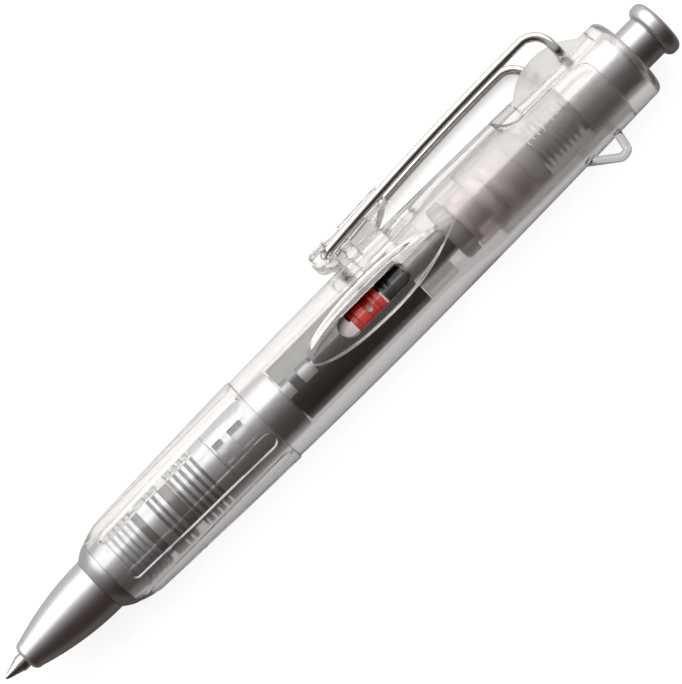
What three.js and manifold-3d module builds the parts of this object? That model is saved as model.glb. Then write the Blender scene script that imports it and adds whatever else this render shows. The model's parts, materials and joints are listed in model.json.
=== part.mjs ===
// A pushbutton ballpoint pen with a clear body, a wire clip and an air-pressure mechanism behind a window.
// Millimetres, +Z up. The pen lies on a table at rest on its barrel and one leg of its clip, tip towards -X.
// Inside the pen's own group, x is the distance from the ball, +y points to the clip and +z to the window.

import * as THREE from 'three';
import { mergeVertices } from 'three/addons/utils/BufferGeometryUtils.js';
import Module from 'manifold-3d';

const wasm = await Module();
wasm.setup();

// Fits: pieces that seat on each other, pieces that slide, and the refill's tip in the nose
const seat = 0.3;
const slide = 0.2;
const tipPlay = 0.1;

// Lengths along the outside, in order from the ball
const tipShown = 3.8;
const noseLength = 14.4;
const shoulderLength = 1.7;
const gripLength = 29.3;
const barrelLength = 64.5;
const capLength = 5.1;
const stemShown = 3.6;
const flangeThickness = 2.4;

// Radii that stand by themselves, from the inside out
const spigotRadius = 3.3;
const coreBore = 3.5;
const coreFrontBore = 2.7;
const coreRadius = 4.9;
const stemRadius = 3.3;

// Walls and steps that the other radii are worked out from
const neckWall = 1.0;
const shoulderStep = 0.5;
const barrelWall = 1.8;
const bellyRise = 0.23;
const rearWall = 1.0;
const gripStep = 0.2;
const gripSwell = 0.76;
const gripNoseStep = 0.15;
const capNarrowing = 0.75;
const skirtWall = 1.0;
const flangeStep = 0.95;
const noseFrontWall = 0.2;
const noseBevelStep = 0.82;

// Lengths of the body's inside features, and the curves of its outside
const corePlugLength = 4.1;
const spigotLength = 4.3;
const shoulderFlat = 0.3;
const counterboreLength = 35.6;
const counterboreSlope = 2.4;
const bellyStart = 19.9;
const taperPower = 1.6;
const capWall = 1.0;
const skirtLength = 23.7;
const noseBevelLength = 1.1;
const noseBore = 2.7;
const noseLandLength = 2.2;
const noseCurve = 2.05;
const gripBevelLength = 3.5;
const gripBevelCurve = 1.5;
const gripCurve = 1.3;
const capCorner = 1.1;

// Black inner sleeve, its openings, and the clear bush behind it
const innerPlay = 0.6;
const innerWall = 0.7;
const bushLength = 4.8;
const collarRoom = 2.1;
const notchLength = 1.4;
const openingStart = 2.9;
const openingLength = 2.4;
const openingHeight = 2.35;
const slotStart = 10.8;
const slotHeight = 3.6;

// Window in the barrel: a leaf-shaped flat with an oblong hole through it
const windowStart = 8.7;
const windowLength = 29;
const windowHeight = 6.1;
const windowDepth = 0.7;
const holeStart = 15.2;
const holeLength = 12.7;
const holeHeight = 3.2;

// Refill: ball, tip, metal tube, clear plug
const ballRadius = 0.35;
const tipConeLength = 2.2;
const tipConeRadius = 1.1;
const tipRadius = 1.2;
const tipLength = 8.5;
const refillRadius = 2.3;
const refillBore = 2.0;
const refillLength = 52.4;
const refillStepStart = 31.7;
const refillStepPlay = 0.4;
const plugLength = 5.4;
const refillSpigotLength = 4;

// Pressure mechanism: red valve piston, black rod with its head, air cylinder, end cap
const pistonPlay = 0.5;
const pistonLength = 5.3;
const pistonBore = 1.0;
const ventRadius = 0.4;
const rodFrontLength = 4.1;
const rodRadius = 2.4;
const headPlay = 0.35;
const headLength = 3.0;
const airRoom = 1.0;
const cylinderWall = 0.65;
const cylinderLength = 10.8;
const collarLength = 2.4;
const endCapLength = 2.5;
const endCapSpigot = 2.6;
const thrustRadius = 2.5;
const springRoom = 7.1;

// Push mechanism: travel of the button, cam sleeve, rotor and plunger
const buttonTravel = 6.0;
const camSleeveLength = 9.7;
const camSleeveWall = 0.3;
const camRibRise = 0.4;
const camRibs = 4;
const camRibAngle = 50;
const camRibLength = 5.6;
const crownTeeth = 8;
const crownHeight = 0.7;
const rotorTeethHeight = 0.6;
const rotorLength = 1.6;
const rotorWall = 1.0;
const splineRise = 0.45;
const splinePlay = 0.35;
const splineWidth = 1.1;
const tabLength = 0.9;
const tabAngle = 24;
const plungerSpigotRadius = 2.2;
const plungerSpigotLength = 6.6;
const stemInside = 6.6;

// Wire clip and its clear pad
const wireRadius = 0.7;
const legHalfSpacing = 3.8;
const crossingRise = 2.27;
const legSag = 1.6;
const farLegLift = 0.3;
const padLength = 13.8;
const wireBend = 2.9;
const crossingBend = 1.4;
const elbowBend = 1.0;
const farPinLift = 0.6;
const nearPinFromRear = 6.8;
const farPinFromRear = 11.35;
const pinDepth = 0.55;
const padHalfWidth = 2.8;
const padNose = 1.3;
const padPlate = 1.1;
const bulbHalfWidth = 4.3;
const bulbLength = 3.2;
const crossingFromPadFront = 2.5;
const padFromRear = 51;

// Tail cap: tongue, shelves beside the fin, fin
const tongueHeight = 3.35;
const tongueLength = 14.8;
const tongueFrontBend = 3.1;
const tongueRearBend = 2.2;
const shelfFloor = 0.5;
const shelfFromRear = 16.4;
const shelfLength = 14.1;
const finThickness = 1.6;
const finRise = 1.77;
const finCentreHeight = 0.1;
const finCentreFromRear = 9.7;

// Lanyard loop moulded on the barrel, opposite the clip
const loopRadius = 0.65;
const loopRise = 2.87;
const loopFrontFromRear = 14.6;
const loopRearFromRear = 8.8;
const loopApexFromRear = 10.7;
const loopApexLength = 1.3;

// Springs
const returnWire = 0.25;
const returnPlay = 0.25;
const returnCurls = 13;
const rearWire = 0.25;
const rearPlay = 0.25;
const rearCurls = 7;
const leastCurlGap = 0.4;

// Smoothness
const roundSides = 32;
const shellSides = 44;
const smallSides = 22;
const springSteps = 8;
const springSides = 5;

// Stations along the axis, worked out from the lengths
const noseFront = tipShown;
const noseRear = noseFront + noseLength;
const coreFront = noseRear + seat;
const gripFront = coreFront + shoulderLength + seat;
const gripRear = gripFront + gripLength;
const barrelFront = gripRear + seat;
const barrelRear = barrelFront + barrelLength;
const capFront = barrelRear + seat;
const capRear = capFront + capLength;
const coreRear = barrelFront + corePlugLength;
const counterboreFront = barrelRear - counterboreLength;
const skirtFront = barrelRear - skirtLength;
const springSeat = coreFront + spigotLength + seat;
const tubeFront = tipLength + ballRadius + seat;
const tubeRear = tubeFront + refillLength;
const plugFront = tubeRear + seat;
const plugRear = plugFront + plugLength;
const pistonFront = plugRear + seat;
const pistonRear = pistonFront + pistonLength;
const rodFront = pistonRear + seat;
const capInside = capRear - capWall;
const camSleeveRear = capInside - seat;
const camSleeveFront = camSleeveRear - camSleeveLength;
const tabRear = camSleeveRear - seat - buttonTravel;
const tabFront = tabRear - tabLength;
const crownTip = tabFront - crownHeight;
const rotorTip = crownTip - seat;
const rotorFront = rotorTip - rotorTeethHeight - rotorLength;
const thrustRear = rotorFront - seat;
const endCapRear = thrustRear - springRoom;
const endCapFront = endCapRear - endCapLength;
const cylinderRear = endCapFront - seat;
const cylinderFront = cylinderRear - cylinderLength;
const collarRear = cylinderFront - seat;
const collarFront = collarRear - collarLength;
const bushRear = collarFront - collarRoom;
const bushFront = bushRear - bushLength;
const innerFront = coreRear + seat;
const innerRear = bushFront - seat;
const headRear = endCapFront - endCapSpigot - airRoom;
const headFront = headRear - headLength;
const flangeFront = capRear + stemShown;
const buttonRear = flangeFront + flangeThickness;
const stemFront = capRear - stemInside;
const nearPin = capRear - nearPinFromRear;
const farPin = capRear - farPinFromRear;
const padFront = capRear - padFromRear;
const crossing = padFront + crossingFromPadFront;
const finCentre = capRear - finCentreFromRear;

// Radii of the body, worked out from the inside out
const spigotBore = spigotRadius + seat;
const neckRadius = spigotRadius + neckWall;
const shoulderRadius = coreRadius + shoulderStep;
const barrelBore = coreRadius + seat;
const barrelRadius = barrelBore + barrelWall;
const bellyRadius = barrelRadius + bellyRise;
const barrelCounterbore = barrelRadius - rearWall;
const gripRearRadius = barrelRadius + gripStep;
const gripFrontRadius = gripRearRadius - gripSwell;
const gripNoseRadius = shoulderRadius + gripNoseStep;
const capRadius = bellyRadius - capNarrowing;
const skirtRadius = barrelCounterbore - seat;
const capBore = skirtRadius - skirtWall;
const flangeRadius = stemRadius + flangeStep;
const noseFrontRadius = tipRadius + tipPlay + noseFrontWall;
const noseBevelRadius = noseFrontRadius + noseBevelStep;

// Radii of the works, each from the bore that it runs in
const innerRadius = barrelBore - innerPlay;
const innerBore = innerRadius - innerWall;
const pistonRadius = innerBore - pistonPlay;
const refillStepRadius = coreBore - refillStepPlay;
const returnRadius = coreBore - returnPlay - returnWire;
const cylinderRadius = capBore - seat;
const cylinderBore = cylinderRadius - cylinderWall;
const headRadius = cylinderBore - headPlay;
const camSleeveRadius = capBore - seat;
const camSleeveBore = camSleeveRadius - camSleeveWall;
const camRibRadius = camSleeveBore - camRibRise;
const tabRadius = camSleeveBore - seat;
const splineRadius = camRibRadius - splinePlay;
const rotorRadius = splineRadius - splineRise;
const rotorBore = rotorRadius - rotorWall;
const rearRadius = camRibRadius - rearPlay - rearWire;

// Heights of the tail cap's fin, the clip and the loop over the axis
const shelfHeight = capBore + shelfFloor;
const finRadius = bellyRadius + finRise - finCentreHeight;
const loopReach = capRadius + loopRise;
const crossingHeight = bellyRadius + crossingRise;
const nearLegHeight = crossingHeight + legSag;
const farLegHeight = nearLegHeight + farLegLift;
const nearPinHeight = shelfHeight + wireRadius + seat;
const farPinHeight = nearPinHeight + farPinLift;

// A closed surface as a solid: shared corners merged, flat triangles dropped, faces pointing out
function solid(geometry) {
  const bare = new THREE.BufferGeometry();
  bare.setAttribute('position', geometry.getAttribute('position').clone());
  if (geometry.index) bare.setIndex(geometry.index.clone());
  const merged = mergeVertices(bare, 1e-4);
  const position = merged.getAttribute('position');
  const index = merged.getIndex().array;
  const corners = [];
  let volume = 0;
  const a = new THREE.Vector3();
  const b = new THREE.Vector3();
  const c = new THREE.Vector3();
  for (let i = 0; i < index.length; i += 3) {
    const [p, q, r] = [index[i], index[i + 1], index[i + 2]];
    if (p === q || q === r || r === p) continue;
    corners.push(p, q, r);
    a.fromBufferAttribute(position, p);
    b.fromBufferAttribute(position, q);
    c.fromBufferAttribute(position, r);
    volume += a.dot(b.cross(c));
  }
  if (volume < 0) corners.reverse();
  const mesh = new wasm.Mesh({
    numProp: 3,
    vertProperties: new Float32Array(position.array),
    triVerts: new Uint32Array(corners),
  });
  return new wasm.Manifold(mesh);
}

// A named piece of the pen from a solid
function piece(name, body, material) {
  const mesh = body.getMesh();
  const geometry = new THREE.BufferGeometry();
  geometry.setAttribute('position', new THREE.BufferAttribute(mesh.vertProperties, mesh.numProp));
  geometry.setIndex(new THREE.BufferAttribute(mesh.triVerts, 1));
  geometry.computeVertexNormals();
  const part = new THREE.Mesh(geometry, material);
  part.name = name;
  return part;
}

// Turns a closed outline of [station, radius] points about the pen's axis
function turned(outline, sides = roundSides) {
  const points = [...outline, outline[0]].map(([station, radius]) => new THREE.Vector2(radius, station));
  const lathe = new THREE.LatheGeometry(points, sides);
  lathe.rotateZ(-Math.PI / 2);
  return solid(lathe);
}

// A plain tube or disc between two stations
function ring(front, rear, outer, inner, sides = roundSides) {
  return turned([[front, inner], [front, outer], [rear, outer], [rear, inner]], sides);
}

// Extrudes an outline of [x, y] points across the pen, between two z values
function across(outline, low, high) {
  const shape = new THREE.Shape(outline.map(([x, y]) => new THREE.Vector2(x, y)));
  const geometry = new THREE.ExtrudeGeometry(shape, { depth: high - low, bevelEnabled: false });
  geometry.translate(0, 0, low);
  return solid(geometry);
}

// Extrudes an outline of [x, z] points towards the clip, between two y values
function upwards(outline, low, high) {
  const shape = new THREE.Shape(outline.map(([x, z]) => new THREE.Vector2(x, -z)));
  const geometry = new THREE.ExtrudeGeometry(shape, { depth: high - low, bevelEnabled: false });
  geometry.rotateX(-Math.PI / 2);
  geometry.translate(0, low, 0);
  return solid(geometry);
}

// Points of a circle's arc, angles in degrees
function arc(x, y, radius, from, to, steps) {
  const points = [];
  for (let i = 0; i <= steps; i += 1) {
    const angle = THREE.MathUtils.degToRad(from + ((to - from) * i) / steps);
    points.push([x + radius * Math.cos(angle), y + radius * Math.sin(angle)]);
  }
  return points;
}

// Points of a function over a span, ends included
function graph(from, to, steps, height) {
  const points = [];
  for (let i = 0; i <= steps; i += 1) {
    const x = from + ((to - from) * i) / steps;
    points.push([x, height(x)]);
  }
  return points;
}

// A stadium outline, long way along x
function stadium(from, to, height, steps = 6) {
  const half = height / 2;
  return [...arc(from + half, 0, half, 90, 270, steps), ...arc(to - half, 0, half, -90, 90, steps)];
}

// A path through corners, each inner corner rounded with its own radius
function rounded(corners, radii, steps = 5) {
  const path = [corners[0]];
  for (let i = 1; i < corners.length - 1; i += 1) {
    const back = corners[i - 1].clone().sub(corners[i]).normalize();
    const ahead = corners[i + 1].clone().sub(corners[i]).normalize();
    const turn = Math.PI - back.angleTo(ahead);
    const reach = radii[i - 1] * Math.tan(turn / 2);
    const start = corners[i].clone().addScaledVector(back, reach);
    const end = corners[i].clone().addScaledVector(ahead, reach);
    const middle = back.clone().add(ahead).normalize();
    const centre = corners[i].clone().addScaledVector(middle, radii[i - 1] / Math.cos(turn / 2));
    for (let k = 0; k <= steps; k += 1) {
      const near = Math.sin((turn * (steps - k)) / steps) / Math.sin(turn);
      const far = Math.sin((turn * k) / steps) / Math.sin(turn);
      const point = centre.clone();
      point.addScaledVector(start.clone().sub(centre), near);
      point.addScaledVector(end.clone().sub(centre), far);
      path.push(point);
    }
  }
  path.push(corners[corners.length - 1]);
  return path;
}

// Carries a round section along a path of points, without twisting it, and caps both ends
function sweep(path, radius, sides) {
  const vertices = [];
  const triangles = [];
  const side = new THREE.Vector3();
  path.forEach((point, i) => {
    const before = path[Math.max(i - 1, 0)];
    const after = path[Math.min(i + 1, path.length - 1)];
    const along = after.clone().sub(point).normalize();
    along.add(point.clone().sub(before).normalize()).normalize();
    if (i === 0) side.set(0.31, 0.83, 0.47);
    side.addScaledVector(along, -side.dot(along)).normalize();
    const up = along.clone().cross(side);
    for (let k = 0; k < sides; k += 1) {
      const angle = (2 * Math.PI * k) / sides;
      const corner = point.clone().addScaledVector(side, radius * Math.cos(angle));
      corner.addScaledVector(up, radius * Math.sin(angle));
      vertices.push(...corner.toArray());
    }
  });
  const rings = path.length;
  for (let i = 0; i < rings - 1; i += 1) {
    for (let k = 0; k < sides; k += 1) {
      const a = i * sides + k;
      const b = i * sides + ((k + 1) % sides);
      triangles.push(a, b, a + sides, b, b + sides, a + sides);
    }
  }
  for (let k = 1; k < sides - 1; k += 1) {
    const last = (rings - 1) * sides;
    triangles.push(0, k + 1, k, last, last + k, last + k + 1);
  }
  const geometry = new THREE.BufferGeometry();
  geometry.setAttribute('position', new THREE.Float32BufferAttribute(vertices, 3));
  geometry.setIndex(triangles);
  return solid(geometry);
}

// A coil spring about the axis: one unbroken helix, with a printed check of the room between its curls
function spring(name, front, rear, coilRadius, wire, curls, material) {
  const start = front + wire;
  const pitch = (rear - wire - start) / curls;
  const path = [];
  for (let i = 0; i <= curls * springSteps; i += 1) {
    const angle = (2 * Math.PI * i) / springSteps;
    const x = start + (pitch * i) / springSteps;
    path.push(new THREE.Vector3(x, coilRadius * Math.cos(angle), coilRadius * Math.sin(angle)));
  }
  let closest = Infinity;
  path.forEach((point, i) => {
    path.slice(i + springSteps / 2).forEach((other) => {
      closest = Math.min(closest, point.distanceTo(other));
    });
  });
  const room = closest - 2 * wire;
  console.log(`${name}: ${room.toFixed(2)} mm between curls, over ${leastCurlGap} wanted`);
  return piece(name, sweep(path, wire, springSides), material);
}

// A ring whose rear or front face is a zigzag of teeth, for a crown or a cam rotor
function toothedRing(flat, root, tip, outer, inner, teeth) {
  const steps = teeth * 4;
  const vertices = [];
  const triangles = [];
  for (let i = 0; i < steps; i += 1) {
    const angle = (2 * Math.PI * i) / steps;
    const rise = 1 - Math.abs((i % 4) / 2 - 1);
    const edge = root + (tip - root) * rise;
    [[flat, inner], [flat, outer], [edge, outer], [edge, inner]].forEach(([x, radius]) => {
      vertices.push(x, radius * Math.cos(angle), radius * Math.sin(angle));
    });
  }
  for (let i = 0; i < steps; i += 1) {
    for (let k = 0; k < 4; k += 1) {
      const a = i * 4 + k;
      const b = i * 4 + ((k + 1) % 4);
      const c = ((i + 1) % steps) * 4 + k;
      const d = ((i + 1) % steps) * 4 + ((k + 1) % 4);
      triangles.push(a, b, c, b, d, c);
    }
  }
  const geometry = new THREE.BufferGeometry();
  geometry.setAttribute('position', new THREE.Float32BufferAttribute(vertices, 3));
  geometry.setIndex(triangles);
  return solid(geometry);
}

// A block that spans an angle about the axis, from one radius to another, with a pointed front
function pointedRib(front, rear, outer, inner, degrees, point) {
  const half = degrees / 2;
  const outline = [...arc(0, 0, outer, 90 - half, 90 + half, 4), ...arc(0, 0, inner, 90 + half, 90 - half, 4)];
  const shape = new THREE.Shape(outline.map(([z, y]) => new THREE.Vector2(z, y)));
  const sector = new THREE.ExtrudeGeometry(shape, { depth: rear - front, bevelEnabled: false });
  sector.rotateY(Math.PI / 2);
  sector.translate(front, 0, 0);
  const width = outer;
  const roof = [[front, 0], [front + point, width], [rear, width], [rear, -width], [front + point, -width]];
  return solid(sector).intersect(upwards(roof, 0, outer + 1));
}

// Adds copies of a solid about the axis, with an angle in degrees for the first
function around(body, cutter, count, first, join) {
  let result = body;
  for (let i = 0; i < count; i += 1) {
    const copy = cutter.rotate([first + (360 * i) / count, 0, 0]);
    result = join ? result.add(copy) : result.subtract(copy);
  }
  return result;
}

// Radius of the barrel's outside: a soft belly behind its front, then drawn in towards the tail cap
function barrelOutside(x) {
  const belly = barrelFront + bellyStart;
  if (x < belly) return bellyRadius - bellyRise * ((belly - x) / bellyStart) ** 2;
  return bellyRadius - capNarrowing * ((x - belly) / (capRear - belly)) ** taperPower;
}

// Radius of the grip's outside: a soft swell towards the barrel
function gripOutside(x) {
  const start = gripFront + gripBevelLength;
  const share = Math.max(0, (gripRear - x) / (gripRear - start));
  return gripRearRadius - (gripRearRadius - gripFrontRadius) * share ** gripCurve;
}

// Materials
function plastic(color, roughness, opacity = 1) {
  return new THREE.MeshStandardMaterial({ color, roughness, metalness: 0, opacity, transparent: opacity < 1 });
}
const satinSilver = new THREE.MeshStandardMaterial({ color: 0xc4c4c6, roughness: 0.35, metalness: 0.9 });
const polishedSteel = new THREE.MeshStandardMaterial({ color: 0xd2d2d0, roughness: 0.12, metalness: 1 });
const springSteel = new THREE.MeshStandardMaterial({ color: 0xa9a9a8, roughness: 0.25, metalness: 1 });
const clearPlastic = plastic(0xe6e6e2, 0.12, 0.35);
const softClear = plastic(0xe2e2de, 0.35, 0.45);
const blackPlastic = plastic(0x141314, 0.25);
const greyPlastic = plastic(0x4a4846, 0.35);
const redPlastic = plastic(0xd4322a, 0.35);
const pinkClear = plastic(0xe4cfd0, 0.2, 0.6);
const rubber = plastic(0x1c1b1b, 0.6);

// Nose cone: long curved cone with a bevelled front and a spigot that screws into the grip core
function noseCone() {
  const bevelRear = noseFront + noseBevelLength;
  const outside = graph(bevelRear, noseRear, 8, (x) => {
    const share = Math.max(0, (noseRear - x) / (noseRear - bevelRear));
    return neckRadius - (neckRadius - noseBevelRadius) * share ** noseCurve;
  });
  const landRear = noseFront + noseLandLength;
  const outline = [
    [noseFront, tipRadius + tipPlay],
    [noseFront, noseFrontRadius],
    ...outside,
    [noseRear, spigotRadius],
    [noseRear + spigotLength, spigotRadius],
    [noseRear + spigotLength, noseBore],
    [landRear + noseBore - tipRadius, noseBore],
    [landRear, tipRadius + tipPlay],
  ];
  return piece('nose_cone', turned(outline), satinSilver);
}

// Grip core: silver tube under the clear grip, with a shoulder, ribs, grooves and two pairs of openings
function gripCore() {
  const shoulderRear = coreFront + shoulderLength;
  const valley = coreRadius - 0.3;
  const ribPitch = 0.95;
  const ribs = [];
  for (let i = 0; i < 5; i += 1) {
    const x = gripFront + 2 + i * ribPitch;
    ribs.push([x, valley], [x + 0.2, coreRadius], [x + 0.65, coreRadius], [x + 0.85, valley]);
  }
  const groovePitch = 1.15;
  const grooves = (start, count) => {
    const points = [];
    for (let i = 0; i < count; i += 1) {
      const x = start + i * groovePitch;
      points.push([x, coreRadius], [x, valley], [x + 0.5, valley], [x + 0.5, coreRadius]);
    }
    return points;
  };
  const bandFront = gripFront + 7.1;
  const waistFront = gripFront + 12.1;
  const openingsFront = gripFront + 21.4;
  const outline = [
    [coreFront, spigotBore],
    [coreFront, neckRadius],
    ...arc(shoulderRear - shoulderFlat, neckRadius, shoulderRadius - neckRadius, 165, 90, 3),
    [shoulderRear, shoulderRadius],
    [shoulderRear, coreRadius],
    ...ribs,
    [bandFront, valley - 0.2],
    [bandFront + 1.4, valley - 0.2],
    [bandFront + 1.4, coreRadius],
    ...grooves(bandFront + 3.3, 2),
    [waistFront, coreRadius],
    [waistFront, valley - 0.5],
    [waistFront + 1.9, valley - 0.5],
    [waistFront + 1.9, coreRadius],
    ...grooves(waistFront + 2.7, 4),
    [openingsFront, coreRadius],
    [openingsFront, coreRadius - 0.1],
    [coreRear, coreRadius - 0.1],
    [coreRear, coreBore],
    [springSeat + 1, coreBore],
    [springSeat + 1, coreFrontBore],
    [springSeat, coreFrontBore],
    [springSeat, spigotBore],
  ];
  let body = turned(outline, smallSides);
  const half = openingHeight / 2 + 0.4;
  [[0.4, 1.3], [3.1, 2.5]].forEach(([from, length]) => {
    const x = openingsFront + from;
    body = body.subtract(across([[x, -half], [x + length, -half], [x + length, half], [x, half]], -9, 9));
  });
  return piece('grip_core', body, satinSilver);
}

// Grip: clear elastomer sleeve with six long tapered dimples, one of them in line with the clip
function gripSleeve() {
  const bevelRear = gripFront + gripBevelLength;
  const outline = [
    [gripFront, coreRadius + seat],
    ...graph(gripFront, bevelRear, 4, (x) => {
      const share = Math.min(1, (bevelRear - x) / gripBevelLength);
      return gripFrontRadius - (gripFrontRadius - gripNoseRadius) * share ** gripBevelCurve;
    }),
    ...graph(bevelRear, gripRear, 7, gripOutside).slice(1),
    [gripRear, coreRadius + seat],
  ];
  const from = gripFront + 1.9;
  const to = gripRear - 0.2;
  const frontHalf = 0.675;
  const rearHalf = 1.075;
  const dimple = [
    ...arc(from + frontHalf, 0, frontHalf, 90, 270, 5),
    ...arc(to - rearHalf, 0, rearHalf, -90, 90, 5),
  ];
  const depth = 0.35;
  const slope = Math.atan2(gripRearRadius - gripFrontRadius, gripLength);
  const cutter = upwards(dimple, 0, 3);
  const lower = cutter.translate([-from, 0, 0]).rotate([0, 0, THREE.MathUtils.radToDeg(slope)]);
  const placed = lower.translate([from, gripFrontRadius - depth, 0]);
  return piece('grip_sleeve', around(turned(outline), placed, 6, 0, false), softClear);
}

// Outline of the split between barrel and tail cap, seen from the side: the cap's tongue lies above it
function tongueSplit(shift) {
  const front = barrelRear - tongueLength + shift;
  const level = tongueHeight + shift;
  const rear = barrelRear + shift;
  const high = 20;
  return [
    [front, high],
    ...arc(front + tongueFrontBend, level + tongueFrontBend, tongueFrontBend, 180, 270, 6),
    ...arc(rear - tongueRearBend, level - tongueRearBend, tongueRearBend, 90, 0, 5),
    [rear, -high],
    [capRear + high, -high],
    [capRear + high, high],
  ];
}

// The lanyard loop's path: a slanted front leg, a rounded apex and a short rear leg
function loopPath() {
  const foot = -(capRadius - 0.15);
  const front = capRear - loopFrontFromRear;
  const rear = capRear - loopRearFromRear;
  const apex = capRear - loopApexFromRear;
  const corners = [
    new THREE.Vector3(front, foot, 0),
    new THREE.Vector3(apex, -loopReach, 0),
    new THREE.Vector3(apex + loopApexLength, -loopReach + 0.2, 0),
    new THREE.Vector3(rear, foot, 0),
  ];
  return rounded(corners, [0.9, 0.7], 4);
}

// Barrel: clear tube with a thick front wall, the leaf-shaped window flat, its hole, and the lanyard loop
function barrelTube() {
  const outline = [
    [barrelFront, barrelBore],
    ...graph(barrelFront, barrelRear, 9, barrelOutside),
    [barrelRear, barrelCounterbore],
    [counterboreFront + counterboreSlope, barrelCounterbore],
    [counterboreFront, barrelBore],
  ];
  let body = turned(outline, shellSides);
  const start = barrelFront + windowStart;
  const middle = start + windowLength / 2;
  const half = windowHeight / 2;
  const leafHeight = (x) => {
    const share = Math.min(1, Math.abs(x - middle) / (windowLength / 2));
    return half * (x < middle ? Math.sqrt(1 - share ** 2) : 1 - share ** 2);
  };
  const upper = graph(start, start + windowLength, 20, leafHeight);
  const lower = upper.slice(1, -1).reverse().map(([x, y]) => [x, -y]);
  body = body.subtract(across([...upper, ...lower], bellyRadius - windowDepth, bellyRadius + 1));
  const hole = stadium(barrelFront + holeStart, barrelFront + holeStart + holeLength, holeHeight);
  body = body.subtract(across(hole, 0, bellyRadius + 1));
  const split = across(tongueSplit(-seat / 2), -20, 20);
  body = body.subtract(split);
  const bore = ring(barrelFront, barrelRear, barrelCounterbore, 0);
  const loop = sweep(loopPath(), loopRadius, 10).subtract(bore);
  return piece('barrel_tube', body.add(loop), clearPlastic);
}

// Black inner sleeve around the refill's end, with a notch, an opening and a slot on both sides
function innerSleeve() {
  let body = ring(innerFront, innerRear, innerRadius, innerBore);
  const half = openingHeight / 2;
  const box = (from, to, height) => [[from, -height], [to, -height], [to, height], [from, height]];
  const opening = innerFront + openingStart;
  body = body.subtract(across(box(innerFront - 1, innerFront + notchLength, half), -9, 9));
  body = body.subtract(across(box(opening, opening + openingLength, half), -9, 9));
  const slot = stadium(innerFront + slotStart, innerRear + slotHeight, slotHeight);
  return piece('inner_sleeve', body.subtract(across(slot, -9, 9)), blackPlastic);
}

// Clear bush that guides the rod behind the sleeve
function guideBush() {
  return piece('guide_bush', ring(bushFront, bushRear, innerRadius, pistonRadius + seat), clearPlastic);
}

// Tail cap: end ring, skirt inside the barrel, tongue flush with the barrel, shelves and fin for the clip
function tailCap() {
  const shellFront = barrelRear - tongueLength - 1;
  const shell = turned([
    [shellFront, capBore],
    ...graph(shellFront, capRear - capCorner, 6, barrelOutside),
    ...arc(capRear - capCorner, capRadius - capCorner, capCorner, 60, 0, 3),
    [capRear, stemRadius + slide],
    [capInside, stemRadius + slide],
    [capInside, capBore],
  ], shellSides);
  let body = shell.intersect(across(tongueSplit(seat / 2), -20, 20));
  body = body.add(ring(skirtFront, capFront + 0.5, skirtRadius, capBore, shellSides));
  const shelf = capRear - shelfFromRear;
  const side = [[shelf, shelfHeight], [shelf + shelfLength, shelfHeight], [shelf + shelfLength, 20], [shelf, 20]];
  body = body.subtract(across(side, finThickness / 2, 20));
  body = body.subtract(across(side, -20, -finThickness / 2));
  const disc = across(arc(finCentre, finCentreHeight, finRadius, 0, 348.75, 31), -finThickness / 2, finThickness / 2);
  const above = across([[shelf - 2, shelfHeight], [capRear - 1, shelfHeight], [capRear - 1, 20], [shelf - 2, 20]], -5, 5);
  body = body.add(disc.intersect(above));
  [[nearPin, nearPinHeight], [farPin, farPinHeight]].forEach(([x, y]) => {
    const hole = arc(x, y, wireRadius + seat, 0, 337.5, 15);
    body = body.subtract(across(hole, -5, 5));
  });
  return piece('tail_cap', body, clearPlastic);
}

// Silver cam sleeve in the tail: four ribs inside with pointed fronts
function camSleeve() {
  const body = ring(camSleeveFront, camSleeveRear, camSleeveRadius, camSleeveBore);
  const rib = pointedRib(camSleeveRear - camRibLength, camSleeveRear, camSleeveBore + 0.1, camRibRadius, camRibAngle, 1);
  return piece('cam_sleeve', around(body, rib, camRibs, 45, true), satinSilver);
}

// Refill: ball, tip with its step, metal tube with a wide rear that the spring pushes, clear plug
function refillBall() {
  const outline = arc(ballRadius, 0, ballRadius, 180, 0, 8);
  outline[0][1] = 0;
  outline[8][1] = 0;
  return piece('tip_ball', turned(outline, 12), polishedSteel);
}

function refillTip() {
  const socket = 0.05;
  const mouth = 0.45;
  const outline = [
    [2 * ballRadius + socket, 0],
    [2 * ballRadius + socket, ballRadius],
    [mouth, ballRadius + socket],
    [mouth + 0.1, ballRadius + 2 * socket],
    [mouth + tipConeLength, tipConeRadius],
    [mouth + tipConeLength + 0.2, tipRadius],
    [tubeFront - seat, tipRadius],
    [tubeFront - seat, refillBore - seat],
    [tubeFront + refillSpigotLength, refillBore - seat],
    [tubeFront + refillSpigotLength, 0],
  ];
  return piece('refill_tip', turned(outline, smallSides), polishedSteel);
}

function refillTube() {
  const step = tubeFront + refillStepStart;
  const outline = [
    [tubeFront, refillBore],
    [tubeFront, refillRadius],
    [step, refillRadius],
    [step, refillStepRadius],
    [tubeRear, refillStepRadius],
    [tubeRear, refillBore],
  ];
  return piece('refill_tube', turned(outline, smallSides), satinSilver);
}

function refillPlug() {
  const lip = 0.8;
  const outline = [
    [tubeRear - refillSpigotLength, pistonBore],
    [tubeRear - refillSpigotLength, refillBore - seat],
    [plugFront, refillBore - seat],
    [plugFront, pistonRadius],
    [plugFront + lip, pistonRadius],
    [plugFront + lip, pistonRadius - 0.4],
    [plugFront + 2 * lip, pistonRadius - 0.4],
    [plugFront + 2 * lip, pistonRadius],
    [plugRear, pistonRadius],
    [plugRear, pistonBore],
  ];
  return piece('refill_plug', turned(outline, smallSides), pinkClear);
}

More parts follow.
